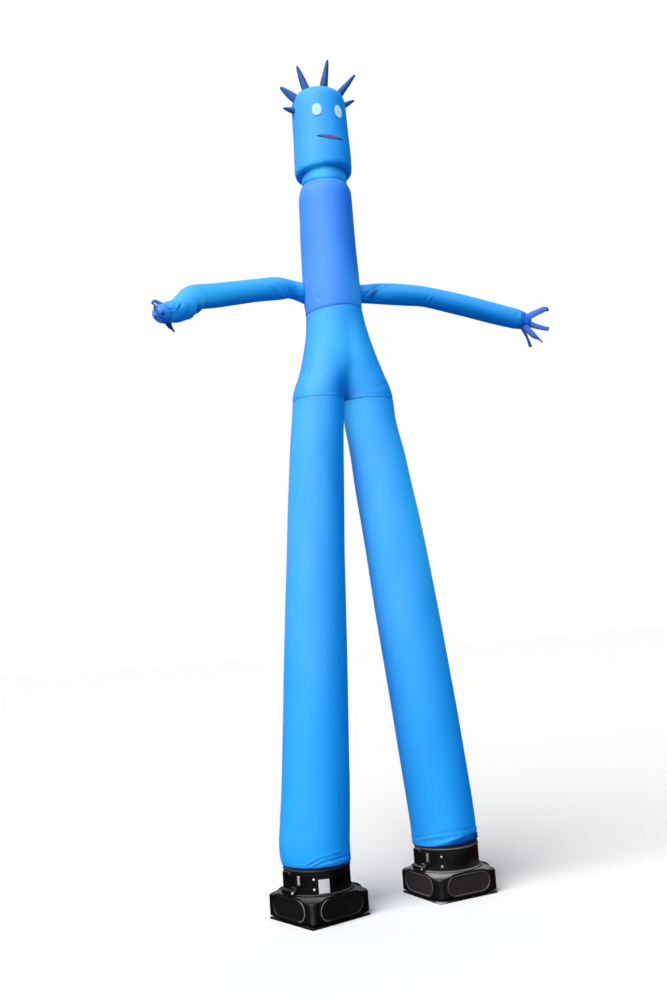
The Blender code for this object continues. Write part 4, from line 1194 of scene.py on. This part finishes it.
class Mould:
    # collects the faces of one hard piece, in its blower's own axes with the front at -Y
    def __init__(self):
        self.points = []
        self.faces = []

    def ring(self, points):
        start = len(self.points)
        self.points += [tuple(p) for p in points]
        return list(range(start, start + len(points)))

    def bridge(self, *rings):
        for low, high in zip(rings, rings[1:]):
            for i in range(len(low)):
                j = (i + 1) % len(low)
                self.faces.append((low[i], low[j], high[j], high[i]))

    def loft(self, rings):
        made = [self.ring(points) for points in rings]
        self.bridge(*made)
        self.faces.append(tuple(reversed(made[0])))
        self.faces.append(tuple(made[-1]))

    def turn(self, profile, count=128, start=0.0, stop=2 * math.pi):
        # turns a closed profile of (radius, height) pairs about the axis, with flat ends if it isn't the whole turn
        whole = stop - start > 2 * math.pi - 1e-6
        rows = []
        for i in range(count if whole else count + 1):
            angle = start + (stop - start) * i / count
            rows.append(self.ring([aboutAxis(angle, r, z) for r, z in profile]))
        for i in range(count):
            self.bridge(rows[i], rows[(i + 1) % len(rows)])
        if not whole:
            self.faces.append(tuple(rows[0]))
            self.faces.append(tuple(reversed(rows[-1])))

    def box(self, middle, size, turned=None):
        half = [s / 2 for s in size]
        corners = []
        for z in (-1, 1):
            for x, y in ((-1, -1), (1, -1), (1, 1), (-1, 1)):
                spot = Vector((x * half[0], y * half[1], z * half[2]))
                corners.append(Vector(middle) + (turned @ spot if turned else spot))
        self.loft((corners[:4], corners[4:]))

    def build(self, node, side, material, bevel=0.0, angle=35, others=()):
        mesh = bpy.data.meshes.new(node)
        mesh.from_pydata([tuple(blowerPoint(side, *p)) for p in self.points], [], self.faces)
        mesh.shade_smooth()
        mesh.set_sharp_from_angle(angle=math.radians(angle))
        for index, group in enumerate(others, start=1):
            for face in group:
                mesh.polygons[face].material_index = index
        made = linked(node + "_part", mesh, material, node)
        if bevel:
            rounded = made.modifiers.new("rounded edges", "BEVEL")
            rounded.width = bevel
            rounded.segments = 2
            rounded.limit_method = "ANGLE"
            rounded.angle_limit = math.radians(angle)
            rounded.harden_normals = True
        return made


housing = {
    "half": 0.26,
    "corner": 0.05,
    "bottom": 12.3 * mm,
    "top": 0.19,
    "fall": 0.23,  # slope of the top outside the flange
    "flange": 0.252,
    "flangeFoot": 0.249,
    "perSide": 22,
    "perCorner": 10,
    "levels": 14,
    "grilleHalf": (0.185, 0.072),
    "grilleHeight": 0.106,
    "recess": 8 * mm,
    "rimProud": 2.2 * mm,
}


def roundSquare(half, corner, inset, perSide, perCorner):
    # a square outline with round corners, counter-clockwise from the front wall's left end
    straight = half - corner
    points = []
    for quarter in range(4):
        turned = quarterTurn(quarter)
        for i in range(perSide):
            points.append(turned @ Vector((-straight + 2 * straight * i / perSide, -half + inset, 0)))
        for i in range(perCorner if perSide else perCorner + 1):
            angle = math.radians(-90 + 90 * i / perCorner)
            spot = Vector((straight, -straight, 0)) + (corner - inset) * Vector((math.cos(angle), math.sin(angle), 0))
            points.append(turned @ spot)
    return points


def outlineOfHousing(inset):
    return roundSquare(housing["half"], housing["corner"], inset, housing["perSide"], housing["perCorner"])


def edgeHeight(point):
    return housing["top"] - housing["fall"] * max(0.0, math.hypot(point.x, point.y) - housing["flange"])


def makeHousing(side):
    made = Mould()
    perSide, levels = housing["perSide"], housing["levels"]
    low, high = 31 * mm, -12 * mm  # where the upright walls start, and end below the edge
    outline = outlineOfHousing(0)
    count = len(outline)
    # the foot, drawn in under the walls
    feet = [made.ring([Vector((p.x, p.y, z)) for p in outlineOfHousing(inset)]) for z, inset in (
        (housing["bottom"], 34 * mm), (20 * mm, 32.5 * mm), (23 * mm, 31 * mm), (27 * mm, 8 * mm),
        (28.5 * mm, 2.5 * mm))]
    made.faces.append(tuple(reversed(feet[0])))
    made.bridge(*feet)
    walls = []
    for k in range(levels):
        share = k / (levels - 1)
        walls.append([Vector((p.x, p.y, low + share * (edgeHeight(p) + high - low))) for p in outline])
    keep = {}

    def at(k, i):
        if (k, i) not in keep:
            keep[(k, i)] = made.ring([walls[k][i % count]])[0]
        return keep[(k, i)]

    bottomRing = [at(0, i) for i in range(count)]
    topRing = [at(levels - 1, i) for i in range(count)]
    made.bridge(feet[-1], bottomRing)
    per = perSide + housing["perCorner"]
    for wall in range(4):
        start = wall * per
        for i in range(perSide, per):
            for k in range(levels - 1):
                a, b = start + i, (start + i + 1) % count
                made.faces.append((at(k, a), at(k, b), at(k + 1, b), at(k + 1, a)))
        # the flat wall, joined to the grille's opening
        border = [(0, start + i) for i in range(perSide)]
        border += [(k, (start + perSide) % count) for k in range(levels - 1)]
        border += [(levels - 1, start + perSide - i) for i in range(perSide)]
        border += [(levels - 1 - k, start) for k in range(levels - 1)]
        ids = [at(k, i % count) for k, i in border]
        turned = quarterTurn(wall)
        back = turned.inverted()
        flats = [back @ walls[k][i % count] for k, i in border]
        proud = housing["rimProud"]
        rings = [made.ring([turned @ onStadium(p.x, p.z, grow, out) for p in flats]) for grow, out in (
            (14 * mm, 0.0), (12 * mm, 0.4 * mm), (10 * mm, proud), (3.5 * mm, proud), (1.2 * mm, 1.2 * mm),
            (0.0, -0.5 * mm), (0.0, -housing["recess"]))]
        made.bridge(ids, *rings)
        made.faces.append(tuple(rings[-1]))
    # the rounded top edge and the sloping top, up to the flange
    tops = [topRing]
    for drop, inset in ((-7 * mm, 0.6 * mm), (-3.2 * mm, 2.4 * mm), (-0.9 * mm, 5.4 * mm), (0.0, 10 * mm)):
        tops.append(made.ring([Vector((p.x, p.y, edgeHeight(q) + drop))
                               for p, q in zip(outlineOfHousing(inset), outline)]))
    ring, hole = [], housing["flangeFoot"]
    for p in outline:
        angle = math.atan2(p.y, p.x)
        ring.append(Vector((hole * math.cos(angle), hole * math.sin(angle), housing["top"])))
    tops.append(made.ring(ring))
    made.bridge(*tops)
    made.faces.append(tuple(tops[-1]))
    made.build("housing_" + side, side, plastics[side], angle=50)


def onStadium(x, z, grow, out):
    # where the line from the grille's middle through a point of the wall meets the grille's outline, grown by a margin
    straight = housing["grilleHalf"][0] - housing["grilleHalf"][1]
    reach = housing["grilleHalf"][1] + grow
    dz = z - housing["grilleHeight"]
    far = math.hypot(x, dz)
    x, dz = x / far, dz / far
    if abs(x) * reach <= straight * abs(dz):
        along = reach / abs(dz)
    else:
        along = abs(x) * straight + math.sqrt((x * straight) ** 2 - straight**2 + reach**2)
    return Vector((x * along, -housing["half"] - out, housing["grilleHeight"] + dz * along))


grille = {
    "rim": 8 * mm,
    "proud": 3 * mm,
    "wireDepth": 2.5 * mm,  # how far back the mesh lies
    "pitch": 11.5 * mm,
    "wire": 2.2 * mm,
}


def stadium(grow, out, wall, perEnd=22):
    halfLength, radius = housing["grilleHalf"]
    straight, reach = halfLength - radius, radius + grow
    turned = quarterTurn(wall)
    points = []
    for end in (1, -1):
        for i in range(perEnd + 1):
            angle = math.radians(-90 + 180 * i / perEnd)
            points.append(turned @ Vector((end * (straight + reach * math.cos(angle)), -housing["half"] - out,
                                           housing["grilleHeight"] + end * reach * math.sin(angle))))
    return points


def makeGrille(side, wall, place):
    made = Mould()
    proud, rim = grille["proud"], grille["rim"]
    gap = 0.6 * mm
    made.loft([stadium(grow, out, wall) for grow, out in (
        (-gap, 0.3 * mm - housing["recess"]), (-gap, proud - 2 * mm), (-gap - 0.8 * mm, proud - 0.6 * mm),
        (-gap - 2.4 * mm, proud), (-rim + 2 * mm, proud), (-rim + 0.6 * mm, proud - 0.8 * mm),
        (-rim, proud - 2.4 * mm), (-rim, -5.4 * mm))])
    # the back face behind the mesh takes the painted-shadow sheet
    backing = len(made.faces) - 1
    turned = quarterTurn(wall)
    halfLength, radius = housing["grilleHalf"]
    inner = radius - rim + 0.5 * mm
    straight = halfLength - radius

    def wire(x, z, out, size):
        place = Vector((x, -housing["half"] + grille["wireDepth"] + out, housing["grilleHeight"] + z))
        made.box(turned @ place, size, turned)

    for i in range(-40, 41):
        x = i * grille["pitch"]
        past = max(0.0, abs(x) - straight)
        if past < inner:
            tall = 2 * math.sqrt(inner**2 - past**2)
            wire(x, 0, -1.2 * mm, (grille["wire"] * 1.15, grille["wire"], tall))
    for i in range(-9, 10):
        z = i * grille["pitch"]
        if abs(z) < inner:
            wide = 2 * (straight + math.sqrt(inner**2 - z**2))
            wire(0, z, 0.8 * mm, (wide, grille["wire"] * 0.8, grille["wire"] * 0.6))
    made.build(f"grille_{side}_{place}", side, [grilleWire[side], paintedShadow, grilleRim[side]], angle=40,
               others=([backing], range(backing)))


plate = {
    "half": 0.25,
    "corner": 5 * mm,
    # how far in from the edge, and how high
    "edge": [(1.5 * mm, 0), (0, 1.5 * mm), (0, 10 * mm), (0.6 * mm, 11.4 * mm), (2.4 * mm, 12 * mm)],
}


def makePlate(side):
    made = Mould()
    made.loft([[spot + Vector((0, 0, z)) for spot in roundSquare(plate["half"], plate["corner"], inset, 0, 4)]
               for inset, z in plate["edge"]])
    made.build("base_plate_" + side, side, plates[side], angle=50)


def makeCollar(side):
    inner, outer = collar["radius"] - collar["wall"], collar["radius"]
    low, top, lip = collar["bottom"], collar["top"], collar["lip"]
    made = Mould()
    profile = [
        (inner, low), (outer - 1 * mm, low), (outer, low + 1 * mm), (outer, top - 16 * mm),
        (outer + 0.3 * mm, top - 12 * mm), (outer + 2.2 * mm, top - 10 * mm), (outer + 3.6 * mm, top - 8 * mm),
        (outer + lip, top - 5 * mm),
        (outer + 3.4 * mm, top - 2 * mm), (outer + 1.8 * mm, top - 0.5 * mm), (outer - 0.5 * mm, top),
        (inner + 1 * mm, top), (inner, top - 1 * mm),
    ]
    made.turn(profile)
    # the rolled lip takes the paler rim finish, a painted highlight
    lipFaces = [i for i in range(len(made.faces)) if 5 <= i % len(profile) <= 10]
    made.build("collar_" + side, side, [plastics[side], rims[side]], angle=60, others=[lipFaces])

    ring = Mould()
    low, high, outer = 190.3 * mm, 202.3 * mm, housing["flange"]
    ring.turn([
        (0.205, low), (0.2505, low), (outer, low + 1.5 * mm), (outer, high - 3 * mm), (0.2512, high - 1 * mm),
        (0.2495, high), (0.2065, high), (0.205, high - 1.5 * mm),
    ])
    ring.build("flange_" + side, side, rims[side], angle=60)


def makeCuff(side):
    turns = turnsOf(160)
    low, high, radius = cuff["bottom"], cuff["top"], cuff["radius"]
    inner = radius - cuff["thickness"] + 0.3 * mm
    r, z = np.array([
        (inner, low + 0.6 * mm), (radius - 0.8 * mm, low + 0.2 * mm), (radius - 0.1 * mm, low + 1.2 * mm),
        (radius, low + 9 * mm), (radius - 0.5 * mm, low + 19 * mm), (radius, low + 29 * mm),
        (radius - 0.1 * mm, high - 1.2 * mm), (radius - 0.8 * mm, high - 0.2 * mm), (inner, high - 0.6 * mm),
    ]).T
    reach = r[:, None] - 0.25 * mm + 0.2 * mm * np.sin(23 * turns)
    points = uprightPoints(z, np.full(len(z), blowers[side]["x"]), reach, turns)
    around = 2 * math.pi * radius * np.arange(len(turns) + 1) / len(turns)
    mesh = gridMesh("cuff", points, around, lengthAlong(np.concatenate([points, points[:1]]))[:, None])
    made = linked("cuff_" + side + "_band", mesh, webbing, "cuff_" + side)


fittings = {
    "seat": 233.1 * mm,
    # the hinge slab's top at each turn, from its rounded upright part to the foot beside it
    "slabTops": [
        (-111, 331), (-109.5, 338.5), (-107.5, 343), (-105, 344.6), (-91, 344.6), (-88.5, 343), (-86.5, 338.5),
        (-85, 331), (-83.5, 248), (-77, 244), (-73.5, 232),
    ],
    "slabDepth": 15 * mm,
    "hingeBolt": (-79, 0.212),
    "clipTurn": -70,
    "boltTurn": -43,
    "boltLevels": (0.234, 0.3),
    "labelTurn": -26.3,
    "labelHalf": 37.7 * mm,
    "labelLevels": (0.206, 0.2985),
    "boltRadius": 9 * mm,
    "boltHeight": 6 * mm,
    "footFace": 0.2526,  # the hinge's foot stands outside the flange
    "footBottom": 0.1925,
    "shoulder": 0.232,
    # the latch's base plate, lever and the bends at its foot: out from the seat in mm, height, and size in mm
    "latch": [
        (1, 0.2935, (20, 1.6, 60)), (5.2, 0.3, (12, 2, 44)), (3.2, 0.316, (16, 4, 7)), (6, 0.276, (14, 5, 6)),
        (3.4, 0.2665, (10, 2.4, 5)),
    ],
    "inletPlace": (0.1975, 0.06),
    # out from the wall and radius, in mm
    "inlet": [(0.3, 11), (5, 11), (6, 10), (7, 7.5), (10, 7.2), (10.5, 6.2), (12, 6.2), (12.5, 7), (15, 6.8),
              (15.5, 5.9), (17, 5.9), (17.5, 6.5), (20, 6.3), (22, 5.4), (22, 3.4), (14, 3.2)],
}


def makeBolt(name, side, turn, level, foot):
    # a low round head with a six-sided socket, on a washer
    angle = math.radians(turn)
    out, across, up = aboutAxis(angle, 1, 0), Vector((math.cos(angle), math.sin(angle), 0)), Vector((0, 0, 1))
    radius, height = fittings["boltRadius"], fittings["boltHeight"]
    rings = []
    for reach, share in ((0.0, 1.0), (0.22, 1.0), (0.26, 0.86), (0.6, 0.84), (0.86, 0.66), (1.0, 0.42)):
        centre = out * (foot + reach * height) + up * level
        rings.append([centre + share * radius * (math.cos(t) * across + math.sin(t) * up)
                      for t in np.radians(np.arange(24) * 15)])
    for reach in (1.0, 0.55):
        centre = out * (foot + reach * height) + up * level
        ring = []
        for t in np.arange(24) * 15:
            flat = math.cos(math.radians(30)) / math.cos(math.radians((t % 60) - 30))
            towards = math.cos(math.radians(t)) * across + math.sin(math.radians(t)) * up
            ring.append(centre + 0.3 * radius * flat * towards)
        rings.append(ring)
    made = Mould()
    made.loft(rings)
    made.build(name, side, steel[side])


def makeFittings(side):
    seat = fittings["seat"]
    low = collar["bottom"] + 2 * mm
    face = seat + fittings["slabDepth"]
    beside, bottom = fittings["footFace"], fittings["footBottom"]
    foot = beside + 9.5 * mm
    slab = Mould()
    rings = []
    turns, tops = zip(*fittings["slabTops"])
    for turn in sorted({*np.linspace(turns[0], turns[-1], 27).round(2).tolist(), *turns}):
        top = float(np.interp(turn, turns, tops)) / 1000
        shoulder = min(fittings["shoulder"], top - 4 * mm)
        rings.append([aboutAxis(math.radians(turn), r, z) for r, z in (
            (seat, low), (beside, low), (beside, bottom), (foot, bottom), (foot, shoulder - 6 * mm),
            (face, shoulder), (face, top - 3 * mm), (face - 3 * mm, top), (seat, top))])
    slab.loft(rings)
    slab.build("hinge_slab_" + side, side, plastics[side], bevel=1.5 * mm, angle=40)

    makeBolt("hinge_bolt_" + side, side, *fittings["hingeBolt"], foot + 0.3 * mm)
    for place, level in zip(("lower", "upper"), fittings["boltLevels"]):
        makeBolt(f"bolt_{side}_{place}", side, fittings["boltTurn"], level, seat)

    # the toggle latch: a base plate, a lever bent out at its foot, a pin and a wire loop
    clip = Mould()
    turned = Matrix.Rotation(math.radians(fittings["clipTurn"]), 3, "Z")
    for out, z, size in fittings["latch"]:
        clip.box(turned @ Vector((0, -(seat + out * mm), z)), [s * mm for s in size], turned)
    for x in (-7.5 * mm, 7.5 * mm):
        clip.box(turned @ Vector((x, -(seat + 4.6 * mm), 0.296)), (1.8 * mm, 1.8 * mm, 46 * mm), turned)
    clip.build("latch_clip_" + side, side, steel[side], bevel=0.5 * mm)

    inlet = Mould()
    x, z = fittings["inletPlace"]
    inlet.loft([[(x + radius * mm * math.cos(t), housing["half"] + reach * mm, z - radius * mm * math.sin(t))
                 for t in np.radians(np.arange(28) * 360 / 28)] for reach, radius in fittings["inlet"]])
    inlet.build("power_inlet_" + side, side, plastics[side], angle=50)


def makeLabel():
    made = Mould()
    turn = math.radians(fittings["labelTurn"])
    spread = fittings["labelHalf"] / collar["radius"]
    seat = fittings["seat"]
    low, high = fittings["labelLevels"]
    made.turn([
        (seat, low), (seat + 1 * mm, low + 0.3 * mm), (seat + 1.3 * mm, low + 4 * mm),
        (seat + 1.3 * mm, high - 4 * mm), (seat + 1 * mm, high - 0.3 * mm), (seat, high),
    ], 20, turn - spread, turn + spread)
    made.build("label", "left", paper, bevel=0.3 * mm)


for side in blowers:
    makePlate(side)
    makeHousing(side)
    for wall, place in enumerate(("front", "right", "back", "left")):
        makeGrille(side, wall, place)
    makeCollar(side)
    makeCuff(side)
    makeFittings(side)
makeLabel()
print("blowers made")

studio = {
    "floor": (0.97, 0.97, 0.975),
    "floorReach": 90,
    "floorGlow": 0.035,
    # strength, direction that the light comes from, its softness in degrees, colour
    "lamps": {
        "key": (3.9, (-0.85, -0.55, 0.98), 50, (1.0, 0.99, 0.97)),
        "fill": (0.5, (-0.2, -1.0, 0.3), 90, (0.92, 0.96, 1.0)),
        "back": (0.5, (0.3, 1.0, 0.8), 90, (0.92, 0.96, 1.0)),
        # the light that comes through the thin cloth from inside, the same from everywhere
        "glow_above": (1.7, (0.0, 0.0, 1.0), 180, (0.07, 0.5, 1.0)),
        "glow_below": (1.5, (0.0, 0.0, -1.0), 180, (0.05, 0.46, 1.0)),
    },
}


def makeStudio():
    mesh = bpy.data.meshes.new("floor")
    reach = studio["floorReach"]
    corners = [(-reach, -reach, 0), (reach, -reach, 0), (reach, reach, 0), (-reach, reach, 0)]
    mesh.from_pydata(corners, [], [(0, 1, 2, 3)])
    floor = bpy.data.objects.new("floor", mesh)
    bpy.context.scene.collection.objects.link(floor)
    paint = Finish("floor_paint", Roughness=0.9, Base_Color=studio["floor"])
    paint.give("Specular IOR Level", 0.1)
    paint.give("Emission Color", (1, 1, 1))
    paint.give("Emission Strength", studio["floorGlow"])
    mesh.materials.append(paint.material)
    floor.visible_diffuse = False
    floor.visible_glossy = False
    floor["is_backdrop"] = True
    inflated = bpy.data.collections.new("inflated cloth")
    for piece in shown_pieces():
        if piece.name.endswith(("_cloth", "_patch")):
            inflated.objects.link(piece)
    for name, (strength, source, softness, colour) in studio["lamps"].items():
        lamp = bpy.data.lights.new(name, "SUN")
        lamp.energy = strength
        lamp.angle = math.radians(softness)
        lamp.color = colour
        made = bpy.data.objects.new(name, lamp)
        bpy.context.scene.collection.objects.link(made)
        made.matrix_world = Vector(source).to_track_quat("Z", "Y").to_matrix().to_4x4()
        if name.startswith("glow"):
            made.light_linking.receiver_collection = inflated
    world = bpy.data.worlds.new("studio")
    world.use_nodes = True
    sky = world.node_tree.nodes["Background"].inputs
    sky["Color"].default_value = (1, 1, 1, 1)
    sky["Strength"].default_value = 1
    bpy.context.scene.world = world
    world.cycles_visibility.diffuse = False
    world.cycles_visibility.glossy = False
    bpy.context.scene.view_settings.view_transform = "Standard"


makeStudio()
print("studio made")
